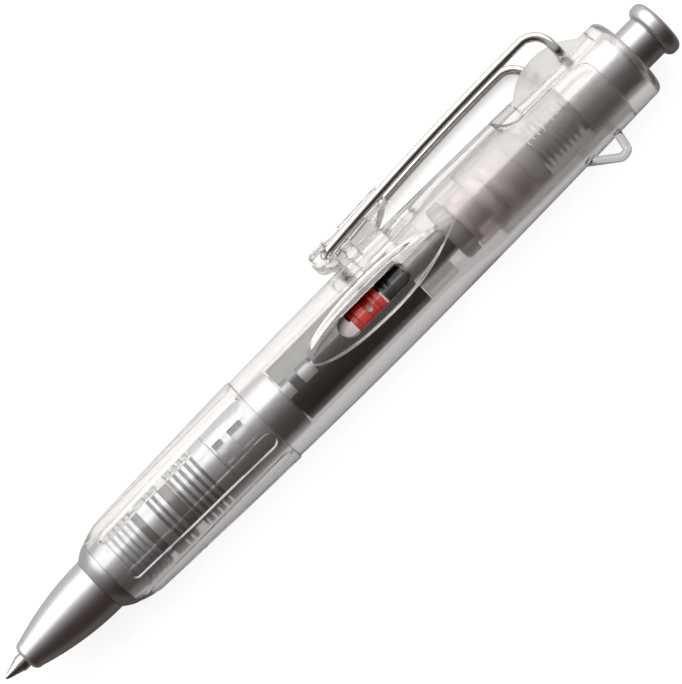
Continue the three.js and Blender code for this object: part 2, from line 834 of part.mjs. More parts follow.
// Red valve piston: ribs, a groove round its middle and a vent hole in the groove
function valvePiston() {
  const neck = pistonRadius - 0.5;
  const groove = pistonFront + 2.4;
  const outline = [
    [pistonFront, pistonBore],
    [pistonFront, pistonRadius - 0.3],
    [pistonFront + 0.8, pistonRadius - 0.3],
    [pistonFront + 0.9, pistonRadius],
    [groove, pistonRadius],
    [groove, neck],
    [groove + 1.2, neck],
    [groove + 1.2, pistonRadius],
    [groove + 1.7, pistonRadius],
    [groove + 1.7, neck + 0.2],
    [groove + 2, neck + 0.2],
    [groove + 2, pistonRadius],
    [pistonRear, pistonRadius],
    [pistonRear, pistonBore],
  ];
  const vent = across(arc(groove + 0.6, 0, ventRadius, 0, 330, 11), 0, 9);
  return piece('valve_piston', turned(outline, smallSides).subtract(vent), redPlastic);
}

// Black rod: two ribs at the front, a thick stretch, the rod and its grooved head inside the air cylinder
function pistonRod() {
  const rib = 0.8;
  const neck = pistonRadius - 0.4;
  const step = rodFront + rodFrontLength;
  const ringSeat = headFront + 1;
  const outline = [
    [rodFront, pistonBore],
    [rodFront, pistonRadius],
    [rodFront + rib / 2, pistonRadius],
    [rodFront + rib / 2, neck],
    [rodFront + rib, neck],
    [rodFront + rib, pistonRadius],
    [rodFront + 1.5 * rib, pistonRadius],
    [rodFront + 1.5 * rib, neck],
    [rodFront + 2 * rib, neck],
    [rodFront + 2 * rib, pistonRadius],
    [step, pistonRadius],
    [step, rodRadius],
    [headFront, rodRadius],
    [headFront, headRadius],
    [ringSeat, headRadius],
    [ringSeat, rodRadius],
    [ringSeat + 1.2, rodRadius],
    [ringSeat + 1.2, headRadius],
    [headRear, headRadius],
    [headRear, pistonBore],
  ];
  return piece('piston_rod', turned(outline, smallSides), blackPlastic);
}

// Rubber ring in the head's groove, close to the cylinder's wall
function pistonRing() {
  const thickness = 0.3;
  const middle = (rodRadius + slide / 2 + cylinderBore - tipPlay) / 2;
  const reach = (cylinderBore - tipPlay - rodRadius - slide / 2) / 2;
  const centre = headFront + 1.6;
  const outline = [];
  for (let i = 0; i < 8; i += 1) {
    const angle = (2 * Math.PI * i) / 8;
    outline.push([centre + thickness * Math.cos(angle), middle + reach * Math.sin(angle)]);
  }
  return piece('piston_ring', turned(outline, smallSides), rubber);
}

// Air cylinder: clear tube between a dark front collar and a dark end cap with its thrust rod
function airCylinder() {
  return piece('air_cylinder', ring(cylinderFront, cylinderRear, cylinderRadius, cylinderBore), pinkClear);
}

function cylinderCollar() {
  const bevel = 0.4;
  const bore = rodRadius + seat;
  const outline = [
    [collarFront, bore],
    [collarFront, cylinderRadius - bevel],
    [collarFront + bevel, cylinderRadius],
    [collarRear, cylinderRadius],
    [collarRear, cylinderBore - slide],
    [cylinderFront + 1, cylinderBore - slide],
    [cylinderFront + 1, bore],
  ];
  return piece('cylinder_collar', turned(outline), blackPlastic);
}

function cylinderEndCap() {
  const outline = [
    [endCapFront - endCapSpigot, 0],
    [endCapFront - endCapSpigot, cylinderBore - seat],
    [endCapFront, cylinderBore - seat],
    [endCapFront, cylinderRadius],
    [endCapRear, cylinderRadius],
    [endCapRear, thrustRadius],
    [thrustRear, thrustRadius],
    [thrustRear, 0],
  ];
  return piece('cylinder_end_cap', turned(outline, smallSides), greyPlastic);
}

// Cam rotor: a ring that turns on the plunger's pin, with splines outside and teeth behind
function camRotor() {
  const teethRoot = rotorFront + rotorLength;
  let body = ring(rotorFront, teethRoot, rotorRadius, rotorBore);
  body = body.add(toothedRing(teethRoot - 0.4, teethRoot, rotorTip, rotorRadius, rotorBore, crownTeeth));
  const half = splineWidth / 2;
  const slant = splineWidth / 2;
  const plan = [
    [rotorFront, -half],
    [teethRoot, -half],
    [teethRoot - slant, half],
    [rotorFront, half],
  ];
  const spline = upwards(plan, rotorRadius - 0.3, splineRadius - 0.1);
  return piece('cam_rotor', around(body, spline, camRibs, 0, true), greyPlastic);
}

// Plunger: a pin for the rotor, a crown of teeth, tabs that run between the sleeve's ribs, and a spigot
function plunger() {
  const outline = [
    [rotorFront + 0.2, 0],
    [rotorFront + 0.2, rotorBore - seat],
    [tabFront - 0.1, rotorBore - seat],
    [tabFront - 0.1, rotorRadius],
    [tabRear, rotorRadius],
    [tabRear, plungerSpigotRadius],
    [tabRear + plungerSpigotLength, plungerSpigotRadius],
    [tabRear + plungerSpigotLength, 0],
  ];
  let body = turned(outline);
  body = body.add(toothedRing(tabFront + 0.3, tabFront, crownTip, rotorRadius, rotorBore, crownTeeth));
  const tab = pointedRib(tabFront, tabRear, tabRadius, rotorRadius - 0.3, tabAngle, 0.01);
  return piece('plunger', around(body, tab, camRibs, 0, true), blackPlastic);
}

// Push button: hollow satin stem and a flange with a full round edge and a flat end
function pushButton() {
  const edge = flangeThickness / 2;
  const middle = flangeFront + edge;
  const outline = [
    [stemFront, plungerSpigotRadius + seat],
    [stemFront, stemRadius],
    [flangeFront, stemRadius],
    ...arc(middle, flangeRadius - edge, edge, 180, 0, 8),
    [buttonRear, 0],
    [tabRear + plungerSpigotLength + seat, 0],
    [tabRear + plungerSpigotLength + seat, plungerSpigotRadius + seat],
  ];
  return piece('push_button', turned(outline), satinSilver);
}

// Path of the clip's wire: pin, elbow, near leg with a slight arch, front crossing, far leg, elbow, pin
function clipPath() {
  const arched = (rear, height, z) => {
    const front = crossing + 8;
    const end = rear - wireBend - 1;
    const points = [];
    for (let i = 0; i <= 5; i += 1) {
      const x = end + ((front - end) * i) / 5;
      const share = (end - x) / (end - crossing);
      points.push(new THREE.Vector3(x, height - legSag * share ** 2, z));
    }
    return points;
  };
  const near = arched(nearPin, nearLegHeight, legHalfSpacing);
  const far = arched(farPin, farLegHeight, -legHalfSpacing).reverse();
  const rear = rounded([
    new THREE.Vector3(nearPin, nearPinHeight, finThickness / 2 - pinDepth),
    new THREE.Vector3(nearPin, nearPinHeight, legHalfSpacing),
    new THREE.Vector3(nearPin, nearLegHeight, legHalfSpacing),
    near[0],
  ], [elbowBend, wireBend]);
  const front = rounded([
    near[5],
    new THREE.Vector3(crossing, crossingHeight, legHalfSpacing),
    new THREE.Vector3(crossing, crossingHeight, -legHalfSpacing),
    far[0],
  ], [crossingBend, crossingBend]);
  const end = rounded([
    far[5],
    new THREE.Vector3(farPin, farLegHeight, -legHalfSpacing),
    new THREE.Vector3(farPin, farPinHeight, -legHalfSpacing),
    new THREE.Vector3(farPin, farPinHeight, pinDepth - finThickness / 2),
  ], [wireBend, elbowBend]);
  return [...rear, ...near.slice(1, 5), ...front, ...far.slice(1, 5), ...end];
}

function clipWire() {
  return piece('clip_wire', sweep(clipPath(), wireRadius, 10), polishedSteel);
}

// Clip pad: a bulb round the wire's front crossing, a top tab, two feet and a slanted strut with an opening
function clipPad() {
  const foot = bellyRadius + seat;
  const x = (along) => padFront + along;
  const top = crossingHeight + wireRadius + padPlate;
  const side = [
    [x(0.6), foot + 1.3],
    ...arc(x(padNose), top - padNose, padNose, 180, 95, 4),
    [x(6.3), top + 0.05],
    [x(6.3), top + 0.35],
    ...arc(x(padLength - 0.5), top + 0.17, 0.5, 85, 0, 3),
    [x(padLength - 0.1), crossingHeight],
    [x(10.2), foot + 0.2],
    [x(9.5), foot],
    [x(6.1), foot],
    [x(6.1), crossingHeight - 0.8],
    [x(4.7), crossingHeight - 0.8],
    [x(4.4), foot],
    [x(2.2), foot],
  ];
  let body = across(side, -padHalfWidth, padHalfWidth);
  const plan = [
    ...arc(x(1.9), -bulbHalfWidth + 1.9, 1.9, 180, 270, 5),
    ...arc(x(bulbLength) - 0.3, -bulbHalfWidth + 0.3, 0.3, -90, 0, 2),
    ...arc(x(bulbLength) - 0.3, bulbHalfWidth - 0.3, 0.3, 0, 90, 2),
    ...arc(x(1.9), bulbHalfWidth - 1.9, 1.9, 90, 180, 5),
  ];
  const bulb = upwards(plan, foot, top);
  const nose = [
    ...arc(x(padNose), crossingHeight + 0.25, padNose, 270, 90, 6),
    [x(bulbLength + 1), crossingHeight + 0.25 + padNose],
    [x(bulbLength + 1), crossingHeight + 0.25 - padNose],
  ];
  body = body.add(bulb.intersect(across(nose, -bulbHalfWidth - 1, bulbHalfWidth + 1)));
  const channel = sweep(clipPath(), wireRadius + slide, 10);
  return piece('clip_pad', body.subtract(channel), clearPlastic);
}

// The pen along its own axis, in order from the tip
const pen = new THREE.Group();
pen.add(
  noseCone(),
  gripCore(),
  gripSleeve(),
  barrelTube(),
  innerSleeve(),
  guideBush(),
  tailCap(),
  camSleeve(),
  refillBall(),
  refillTip(),
  refillTube(),
  refillPlug(),
  valvePiston(),
  pistonRod(),
  pistonRing(),
  airCylinder(),
  cylinderCollar(),
  cylinderEndCap(),
  camRotor(),
  plunger(),
  pushButton(),
  clipWire(),
  clipPad(),
  spring('return_spring', springSeat + 1, tubeFront + refillStepStart, returnRadius, returnWire, returnCurls, springSteel),
  spring('rear_spring', endCapRear, thrustRear, rearRadius, rearWire, rearCurls, springSteel),
);

// Lying at rest: the pen rolls until the far leg of its clip is as low as the barrel's belly
const legReach = Math.hypot(farLegHeight, legHalfSpacing);
const legAngle = Math.atan2(legHalfSpacing, farLegHeight);
pen.rotation.x = -(Math.asin((bellyRadius - wireRadius) / legReach) - legAngle);
const rest = new THREE.Group();
rest.add(pen);
rest.updateMatrixWorld(true);
const box = new THREE.Box3().setFromObject(rest, true);
rest.position.set(-(box.min.x + box.max.x) / 2, -(box.min.y + box.max.y) / 2, -box.min.z);

export default rest;
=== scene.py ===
# %% [markdown]
# # A clear pushbutton pen with its pump on show
#
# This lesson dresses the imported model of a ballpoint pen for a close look. The real pen is a clear
# moulded body over metal and black plastic works, so most of its look comes from light that goes
# through one wall, past another piece, and out again. Each piece is made here as one closed surface
# with real walls, because glass-like materials only bend light rightly when they know where the
# plastic starts and ends.

# %% Load the frame and measure it
import json
import math

import bmesh
import bpy
import numpy as np
from mathutils import Matrix, Vector


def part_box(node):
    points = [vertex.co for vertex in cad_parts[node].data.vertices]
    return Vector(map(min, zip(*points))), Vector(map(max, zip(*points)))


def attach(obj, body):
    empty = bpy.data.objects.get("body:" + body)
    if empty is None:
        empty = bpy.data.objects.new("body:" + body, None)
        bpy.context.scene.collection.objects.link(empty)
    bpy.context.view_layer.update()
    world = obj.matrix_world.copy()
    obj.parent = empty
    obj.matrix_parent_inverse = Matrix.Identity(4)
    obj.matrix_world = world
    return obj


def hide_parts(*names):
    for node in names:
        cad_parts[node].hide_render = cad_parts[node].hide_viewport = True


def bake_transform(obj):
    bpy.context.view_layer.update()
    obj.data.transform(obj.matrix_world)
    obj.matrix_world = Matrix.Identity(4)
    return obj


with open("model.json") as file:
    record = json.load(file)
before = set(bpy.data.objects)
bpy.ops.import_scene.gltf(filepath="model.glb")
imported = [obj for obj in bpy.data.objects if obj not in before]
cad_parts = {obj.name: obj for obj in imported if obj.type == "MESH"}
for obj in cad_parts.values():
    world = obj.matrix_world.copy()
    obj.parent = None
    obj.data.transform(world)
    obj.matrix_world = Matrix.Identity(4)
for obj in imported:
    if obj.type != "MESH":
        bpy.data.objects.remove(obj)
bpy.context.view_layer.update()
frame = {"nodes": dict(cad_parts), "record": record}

# %% [markdown]
# ## The pen's own axes
#
# The pen lies on a table, rolled a little so that one leg of its clip touches the table too. It is
# far easier to shape the pieces in the pen's own axes: x runs from the ball to the button, y points
# to the clip and z to the window. One small function takes such points, in millimetres, to the
# model's frame, in metres. The CAD boxes give the axis and every piece's start and end, so no length
# is typed twice.

# %% Place points of the pen in the frame
hinge = frame["record"]["behaviour"]["joints"][0]["axis"]
ROLL = math.atan2(hinge[1], -hinge[2])
button_low, button_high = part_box("push_button")
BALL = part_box("tip_ball")[0].x * 1000
AXIS = (button_low + button_high) / 2 * 1000


def placed(points):
    """Pen points in mm, shape (n, 3): rolled about the axis, moved onto it, and scaled to metres."""
    x, y, z = np.asarray(points, float).T
    rolled_y = y * math.cos(ROLL) - z * math.sin(ROLL)
    rolled_z = y * math.sin(ROLL) + z * math.cos(ROLL)
    return np.column_stack([x + BALL, rolled_y + AXIS.y, rolled_z + AXIS.z]) / 1000


def span(node):
    """First and last station of a CAD node along the pen, in mm from the ball."""
    low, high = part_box(node)
    return low.x * 1000 - BALL, high.x * 1000 - BALL


print("the barrel runs from", [round(v, 2) for v in span("barrel_tube")])

# %% [markdown]
# ## Camera
#
# The photograph looks almost straight down at the pen, from close above, with the pen running up to
# the right. Its clip side is turned a few degrees away from the camera. The camera sits 450 mm away
# with a long lens, so a frame of about 92 mm just holds the pen on its diagonal. A camera object
# could be turned by hand until the pen fits, but worked out from two angles it stays exact.

# %% Set the camera
CAMERA_TILT = math.radians(5.7)
PEN_ANGLE = math.radians(45.04)
CAMERA_DISTANCE = 0.45
FRAME_WIDTH = 92.75
SENSOR_WIDTH = 36
AIM = (64.6, 0.08, 0)

camera_data = bpy.data.cameras.new("camera")
camera = bpy.data.objects.new("camera", camera_data)
bpy.context.scene.collection.objects.link(camera)
bpy.context.scene.camera = camera
camera_data.sensor_fit = "HORIZONTAL"
camera_data.sensor_width = SENSOR_WIDTH
camera_data.lens = SENSOR_WIDTH * CAMERA_DISTANCE * 1000 / FRAME_WIDTH
camera_data.clip_start = 0.01
towards = Vector((0, math.sin(CAMERA_TILT), math.cos(CAMERA_TILT)))
along = Vector((1, 0, 0))
clipwards = towards.cross(along)
right = along * math.cos(PEN_ANGLE) - clipwards * math.sin(PEN_ANGLE)
up = along * math.sin(PEN_ANGLE) + clipwards * math.cos(PEN_ANGLE)
aim = Vector(placed([AIM])[0])
turned_axes = Matrix((right, up, towards)).transposed().to_4x4()
turned_axes.translation = aim + towards * CAMERA_DISTANCE
camera.matrix_world = turned_axes
print("the lens is", round(camera_data.lens, 1), "mm long")

# %% [markdown]
# ## Light and floor
#
# The photograph has one huge softbox on the clip side of the pen, from just beside the camera down
# to the table. It washes out the upper half of every round surface, while the half towards the
# viewer's lower right stays dark and warm. So one large area lamp leans over that side, and the
# world is dim, with a dark warm side opposite. The floor is a graded card: white on the lamp's side
# and a warm grey beyond the pen, which the metal's lower edges mirror. The warm grey is painted
# shade, standing in for the floor in the pen's shadow. The card also takes the pen's real shadow.
# For the rays that look straight at it, plain light is added until the card reads as white, and less
# of it on the lamp's side, which is lit already. Rays through the clear body get about half of that,
# and mirrored ones hardly any, so the plastic and the metal keep their dark sides. A white world
# would be simpler, but it would light the dark side too.


# %% One helper that adds a node, and one that reads a colour
def colour(code, alpha=1.0):
    """An sRGB hex colour as linear red, green, blue and alpha."""
    channels = [int(code[i : i + 2], 16) / 255 for i in (1, 3, 5)]
    linear = [c / 12.92 if c <= 0.04045 else ((c + 0.055) / 1.055) ** 2.4 for c in channels]
    return (*linear, alpha)


def node(tree, kind, settings=None, **links):
    """Adds a node, sets its properties and sockets, and links sockets that are given as outputs.

    A socket is named with _ for each space in its name, or as _0 for the first one, and so on.
    """
    added = tree.nodes.new(kind)
    for name, value in (settings or {}).items():
        setattr(added, name, value)
    for name, value in links.items():
        key = int(name[1:]) if name[0] == "_" else name.replace("_", " ")
        socket = added.inputs[key]
        if isinstance(value, bpy.types.NodeSocket):
            tree.links.new(value, socket)
        else:
            socket.default_value = value
    return added


def new_material(name):
    """An empty node material and its output node."""
    made = bpy.data.materials.new(name)
    made.use_nodes = True
    made.node_tree.nodes.clear()
    output = made.node_tree.nodes.new("ShaderNodeOutputMaterial")
    return made, made.node_tree, output


# %% Set the lamp and the world
def area_lamp(name, position, target, size, height, watts, tint):
    """A rectangular lamp at a point, facing another point, its long side along the pen."""
    data = bpy.data.lights.new(name, "AREA")
    data.shape = "RECTANGLE"
    data.size = size
    data.size_y = height
    data.energy = watts
    data.color = colour(tint)[:3]
    lamp = bpy.data.objects.new(name, data)
    bpy.context.scene.collection.objects.link(lamp)
    back = (Vector(position) - Vector(target)).normalized()
    side = Vector((1, 0, 0))
    upward = back.cross(side).normalized()
    turned_to = Matrix((side, upward, back)).transposed().to_4x4()
    turned_to.translation = Vector(position)
    lamp.matrix_world = turned_to
    print(name, "gives", round(watts, 2), "W")


LAMP_LEAN = math.radians(60)
LAMP_DISTANCE = 0.5
LAMP_RADIANCE = 2.5
LAMP_LENGTH = 1.4
LAMP_HEIGHT = 0.6
lamp_place = (0, LAMP_DISTANCE * math.sin(LAMP_LEAN), LAMP_DISTANCE * math.cos(LAMP_LEAN))
lamp_watts = LAMP_RADIANCE * math.pi * LAMP_LENGTH * LAMP_HEIGHT
area_lamp("softbox", lamp_place, (0, 0, 0), LAMP_LENGTH, LAMP_HEIGHT, lamp_watts, "#fffefc")


def graded(tree, value, low, high, first, last):
    """A colour that blends from first to last while the value goes from low to high."""
    share = node(tree, "ShaderNodeMapRange", Value=value, From_Min=low, From_Max=high)
    ramp = node(tree, "ShaderNodeValToRGB", Fac=share.outputs["Result"])
    ramp.color_ramp.elements[0].color = colour(first)
    ramp.color_ramp.elements[1].color = colour(last)
    return ramp.outputs["Color"]


SKY_FADE = (-0.3, 0.5)
world = bpy.data.worlds.new("studio")
bpy.context.scene.world = world
world.use_nodes = True
tree = world.node_tree
sky = node(tree, "ShaderNodeTexCoord")
sides = node(tree, "ShaderNodeSeparateXYZ", Vector=sky.outputs["Generated"])
dim = graded(tree, sides.outputs["Y"], *SKY_FADE, "#43372f", "#d8d4d0")
tree.links.new(dim, tree.nodes["Background"].inputs["Color"])

# %% Set the floor as a graded card
SEEN_WHITE = {"Is Camera Ray": 1.0, "Is Transmission Ray": 0.55, "Is Glossy Ray": 0.08}
CARD_FADE = (-0.012, 0.012)
CARD_REACH = 3.0
card, tree, output = new_material("card_with_painted_shade")
place = node(tree, "ShaderNodeTexCoord")
sides = node(tree, "ShaderNodeSeparateXYZ", Vector=place.outputs["Object"])
ray = node(tree, "ShaderNodeLightPath")
seen = 0.0
for kind, part in SEEN_WHITE.items():
    scaled = node(tree, "ShaderNodeMath", {"operation": "MULTIPLY"}, _0=ray.outputs[kind], _1=part)
    greater = node(tree, "ShaderNodeMath", {"operation": "MAXIMUM"}, _0=seen, _1=scaled.outputs["Value"])
    seen = greater.outputs["Value"]
shader = node(
    tree,
    "ShaderNodeBsdfPrincipled",
    # The base colour's warm grey half beyond the pen is painted shade: it stands in for the floor in the
    # pen's shadow.
    Base_Color=graded(tree, sides.outputs["Y"], *CARD_FADE, "#6e645e", "#f6f6f5"),
    Roughness=0.9,
    Specular_IOR_Level=0.2,
    Emission_Color=graded(tree, sides.outputs["Y"], *CARD_FADE, "#fbfbfc", "#a2a2a2"),
    Emission_Strength=seen,
)
tree.links.new(shader.outputs["BSDF"], output.inputs["Surface"])

bpy.context.scene.view_settings.view_transform = "Standard"

floor_mesh = bpy.data.meshes.new("floor")
corner_signs = np.array([(-1, -1, 0), (1, -1, 0), (1, 1, 0), (-1, 1, 0)])
floor_mesh.from_pydata((CARD_REACH * corner_signs).tolist(), [], [(0, 1, 2, 3)])
floor_mesh.materials.append(card)
floor = bpy.data.objects.new("floor", floor_mesh)
bpy.context.scene.collection.objects.link(floor)
print("the card is", 2 * CARD_REACH, "m wide")

# %% [markdown]
# ## Materials
#
# The clear body is an injection-moulded styrene resin: hard, glossy and almost colourless, with an
# index of about 1.57. The softbox also lights what lies inside, so the shader lets shadow rays pass
# through the plastic. Glass with true caustics would do that too, but with far more grain. Parts of
# the body are textured or hazed, and each of those is a finish of its own. One white edge on the
# leaf's bevel is a painted highlight. The grip is a clear elastomer with a softer surface and a lower
# index. Silver pieces are plastic or brass with a satin metal coat, whose fine roughness spreads the
# softbox into a broad band. The core's copy of the coat is darker, as painted shade. The works are
# black, grey, red and milky resins.

# %% Grain and uneven gloss
# The bump's height in mm. Real grain is a few hundredths of a millimetre wide, and a pixel of the
# render is 0.14 mm, so the grain is drawn about as coarse as a pixel, where it still softens lights.
GRAIN_HEIGHT = 0.02


def grain(tree, size_mm, strength):
    """A fine bump whose cells are size_mm across, on object coordinates."""
    place = node(tree, "ShaderNodeTexCoord").outputs["Object"]
    cells = node(tree, "ShaderNodeTexNoise", Vector=place, Scale=1000 / size_mm, Detail=2.0)
    height = cells.outputs["Fac"]
    bump = node(tree, "ShaderNodeBump", Height=height, Strength=strength, Distance=GRAIN_HEIGHT / 1000)
    return bump.outputs["Normal"]


def uneven(tree, roughness, part, size_mm):
    """A roughness that goes up and down by a part of itself, in soft patches size_mm across."""
    place = node(tree, "ShaderNodeTexCoord").outputs["Object"]
    patches = node(tree, "ShaderNodeTexNoise", Vector=place, Scale=1000 / size_mm, Detail=3.0)
    spread = node(
        tree,
        "ShaderNodeMapRange",
        Value=patches.outputs["Fac"],
        To_Min=roughness * (1 - part),
        To_Max=roughness * (1 + part),
    )
    return spread.outputs["Result"]


# %% Clear materials
# The width in mm of the patches in which a clear moulding's gloss goes up and down.
CLEAR_PATCH = 2.5
RIM_BLEND = 0.35


def clear_resin(name, tint, edge_tint, roughness, ior, milk=0.0, shade="#f4f4f4"):
    """A clear moulded resin: glass that tints more towards its edges, where light runs further in it.

    Milk is the part of the light that the resin scatters back. Rays that carry a lamp's light go
    straight through, tinted by the shade.
    """
    made, tree, output = new_material(name)
    rim = node(tree, "ShaderNodeLayerWeight", Blend=RIM_BLEND)
    shader = node(
        tree,
        "ShaderNodeBsdfPrincipled",
        Base_Color=graded(tree, rim.outputs["Facing"], 0.0, 1.0, tint, edge_tint),
        Roughness=uneven(tree, roughness, 0.2, CLEAR_PATCH),
        IOR=ior,
        Transmission_Weight=1.0 - milk,
    )
    passing = node(tree, "ShaderNodeBsdfTransparent", Color=colour(shade))
    path = node(tree, "ShaderNodeLightPath")
    mixed = node(
        tree,
        "ShaderNodeMixShader",
        Fac=path.outputs["Is Shadow Ray"],
        _1=shader.outputs["BSDF"],
        _2=passing.outputs["BSDF"],
    )
    tree.links.new(mixed.outputs["Shader"], output.inputs["Surface"])
    return made


# Polished styrene: hard and glossy, so the softbox lies on it in clean streaks.
clear_styrene = clear_resin("clear_moulded_styrene", "#fafafa", "#d0cecd", 0.09, 1.57, 0.01)
# Styrene off a spark-textured mould wall: its pits scatter light to an even, pale grey.
frosted_styrene = clear_resin("spark_textured_styrene", "#e2e2e1", "#c9c9c8", 0.35, 1.57, 0.3, "#e4e4e3")
# A near-white, nearly opaque resin for one edge: a painted highlight, the white edge where the softbox
# strikes the leaf's bevel.
painted_highlight_styrene = clear_resin("painted_highlight_bevel_styrene", "#fefefe", "#fafafa", 0.3, 1.57, 0.92, "#f4f4f4")
# Styrene seen through a second wall, dulled by drag marks of the core pin: its lights go soft.
hazed_styrene = clear_resin("hazed_styrene", "#ebeae9", "#c0bebd", 0.17, 1.57, 0.05, "#e6e5e4")
# Smoke-grey styrene: a soft dark shape that still lets some light by.
smoke_resin = clear_resin("smoke_grey_styrene", "#b4adaa", "#7d7673", 0.2, 1.5, 0.22, "#c4bfbd")
# Thermoplastic elastomer: a slightly tacky skin, so its streaks are broader than the barrel's.
clear_elastomer = clear_resin("clear_moulded_elastomer", "#f8f8f8", "#d0cfce", 0.12, 1.49, 0.03)
# Natural resin in a thin wall: nearly clear, with warm edges.
clear_acetal = clear_resin("milky_bush_resin", "#efedeb", "#cac8c6", 0.05, 1.5, 0.01, "#eae8e6")
# A tinted tube: it gives the works behind the window their pale pink cast.
pink_styrene = clear_resin("pink_cylinder_resin", "#efe4e4", "#bdb0b1", 0.15, 1.5, 0.1, "#ece2e2")

# %% Solid materials
SOLID_PATCH = 3.846
COAT_ROUGHNESS = 0.06


def solid_finish(name, tint, roughness, metallic, grain_mm, grain_strength, coat=0.0):
    """An opaque finish with fine grain, its roughness a little uneven, and a clear coat if asked."""
    made, tree, output = new_material(name)
    shader = node(
        tree,
        "ShaderNodeBsdfPrincipled",
        Base_Color=colour(tint),
        Metallic=metallic,
        Roughness=uneven(tree, roughness, 0.1, SOLID_PATCH),
        Coat_Weight=coat,
        Coat_Roughness=COAT_ROUGHNESS,
        Normal=grain(tree, grain_mm, grain_strength),
    )
    tree.links.new(shader.outputs["BSDF"], output.inputs["Surface"])
    return made


# Vacuum-coated metal over a finely blasted surface: one broad, soft band of light.
satin_silver = solid_finish("satin_chrome_coat", "#b6b6ba", 0.38, 1.0, 0.09, 0.1)
# The same coat on the core, a shade darker: painted shade for the dimmer light it gets through the grip.
core_silver_painted_shade = solid_finish("satin_core_coat_painted_shade", "#a3a3a6", 0.36, 1.0, 0.09, 0.08)
# Polished stainless wire: thin hard streaks beside dark ones.
polished_steel = solid_finish("polished_stainless_wire", "#cfcfcc", 0.09, 1.0, 0.5, 0.02)
# Nickel silver as it comes off the lathe: a warmer and duller mirror.
turned_steel = solid_finish("turned_nickel_silver", "#c4c1bb", 0.16, 1.0, 0.3, 0.03)
# Spring wire with its drawing marks: grey with a soft light.
drawn_steel = solid_finish("drawn_spring_steel", "#9b9895", 0.25, 1.0, 0.2, 0.05)
# Glossy black ABS: it mirrors the softbox and is otherwise near black.
black_resin = solid_finish("black_abs", "#151211", 0.16, 0.0, 0.4, 0.03)
# Black acetal: a dull body under a thin glossy skin, so its lights are sharp but faint.
rod_resin = solid_finish("black_acetal", "#1c1918", 0.3, 0.0, 0.3, 0.05, 1.0)
# Dark groove floors and walls: painted shade in the grooves, dark bars between bright ones.
groove_painted_shade_resin = solid_finish("groove_painted_shade", "#2b2523", 0.3, 0.0, 0.3, 0.05)
# Red acetal, with the same skin.
red_resin = solid_finish("red_acetal", "#b3200f", 0.3, 0.0, 0.4, 0.03, 1.0)
# Charcoal and natural acetal for the push works in the tail, which hardly show.
grey_resin = solid_finish("charcoal_acetal", "#575250", 0.35, 0.0, 0.3, 0.06)
natural_acetal = solid_finish("natural_acetal", "#b9b3b0", 0.3, 0.0, 0.3, 0.05)
# Pale polypropylene: waxy, with a slight pink cast.
pale_resin = solid_finish("pale_pink_polypropylene", "#d3c6c9", 0.3, 0.0, 0.4, 0.04)
# Nitrile rubber: flat black.
soft_black = solid_finish("nitrile_rubber", "#1a1919", 0.55, 0.0, 0.2, 0.1)
print(len(bpy.data.materials), "materials")

# %% [markdown]
# ## Tools for surfaces
#
# Nearly every piece of a pen is turned: a closed outline of stations and radii, carried round the
# axis. A Screw modifier could turn it too, but with numpy the outline stays a readable list and the
# whole surface is one array. Real edges are never perfectly sharp, so each corner of an outline is
# eased with a tiny arc, which is what catches the small bright lines in the photograph.

# %% Ease the corners of an outline
STRAIGHT_ENOUGH = math.radians(168)
SUPPORT = 0.04


def swept(first, last, sweep, steps):
    """Points that turn evenly from one arm to another: (sin((1 - t) s) first + sin(t s) last) / sin s."""
    t = np.linspace(0, 1, steps + 1)[:, None]
    return (np.sin((1 - t) * sweep) * first + np.sin(t * sweep) * last) / math.sin(sweep)


def eased(outline, radius, steps=4, closed=True):
    """Rounds each corner of a 2D outline with an arc that touches both of its sides.

    Its reach along a side is the radius over tan of half the opening, and at most 0.45 of the side,
    so neighbours never meet. A support point beyond each end of the arc keeps the side's shading flat.
    """
    outline = [np.array(p, float) for p in outline]
    count = len(outline)
    result = []
    for i, corner in enumerate(outline):
        if not closed and i in (0, count - 1):
            result.append(corner)
            continue
        before = outline[i - 1] - corner
        after = outline[(i + 1) % count] - corner
        reach_limit = 0.45 * min(np.hypot(*before), np.hypot(*after))
        before = before / np.hypot(*before)
        after = after / np.hypot(*after)
        opening = math.acos(np.clip(before @ after, -1, 1))
        on_axis = abs(corner[1]) < 1e-6
        if opening > STRAIGHT_ENOUGH or on_axis:
            result.append(corner)
            continue
        reach = min(radius / math.tan(opening / 2), reach_limit)
        round_radius = reach * math.tan(opening / 2)
        bisector = (before + after) / np.hypot(*(before + after))
        centre = corner + bisector * round_radius / math.sin(opening / 2)
        first = corner + before * reach - centre
        last = corner + after * reach - centre
        support = min(SUPPORT, 0.3 * reach_limit)
        result.append(corner + before * (reach + support))
        result.extend(centre + swept(first, last, math.pi - opening, steps))
        result.append(corner + after * (reach + support))
    return np.array(result)


# %% Outlines that repeat
def tube(front, rear, bore, radius):
    """The outline of a plain tube: its bore and its outside, with square ends."""
    return [(front, bore), (front, radius), (rear, radius), (rear, bore)]


def rectangle(start, end, half):
    """A rectangle of that half height, long way along x."""
    return [(start, -half), (end, -half), (end, half), (start, half)]


def grooves(starts, width, top, floor):
    """Square grooves along a turned outline: each drops to the floor and comes back up."""
    points = []
    for x in starts:
        points += [(x, top), (x, floor), (x + width, floor), (x + width, top)]
    return points


def stadium(start, end, height, steps=16):
    """Two half circles joined by straight lines, long way along x."""
    half = height / 2
    turn = np.linspace(math.pi / 2, 3 * math.pi / 2, steps + 1)
    front = np.column_stack([start + half + half * np.cos(turn), half * np.sin(turn)])
    rear = np.column_stack([end - half - half * np.cos(turn), -half * np.sin(turn)])
    return np.concatenate([front, rear])


def arc(x, y, radius, start, end, steps=12):
    """Points of a circle's arc between two angles in degrees."""
    turn = np.radians(np.linspace(start, end, steps + 1))
    return np.column_stack([x + radius * np.cos(turn), y + radius * np.sin(turn)])


def circle(x, y, radius):
    """A full circle of 24 points."""
    return arc(x, y, radius, 0, 345, 23)


print("a tube's outline has", len(eased(tube(0, 10, 3, 4), 0.1)), "points once it is eased")


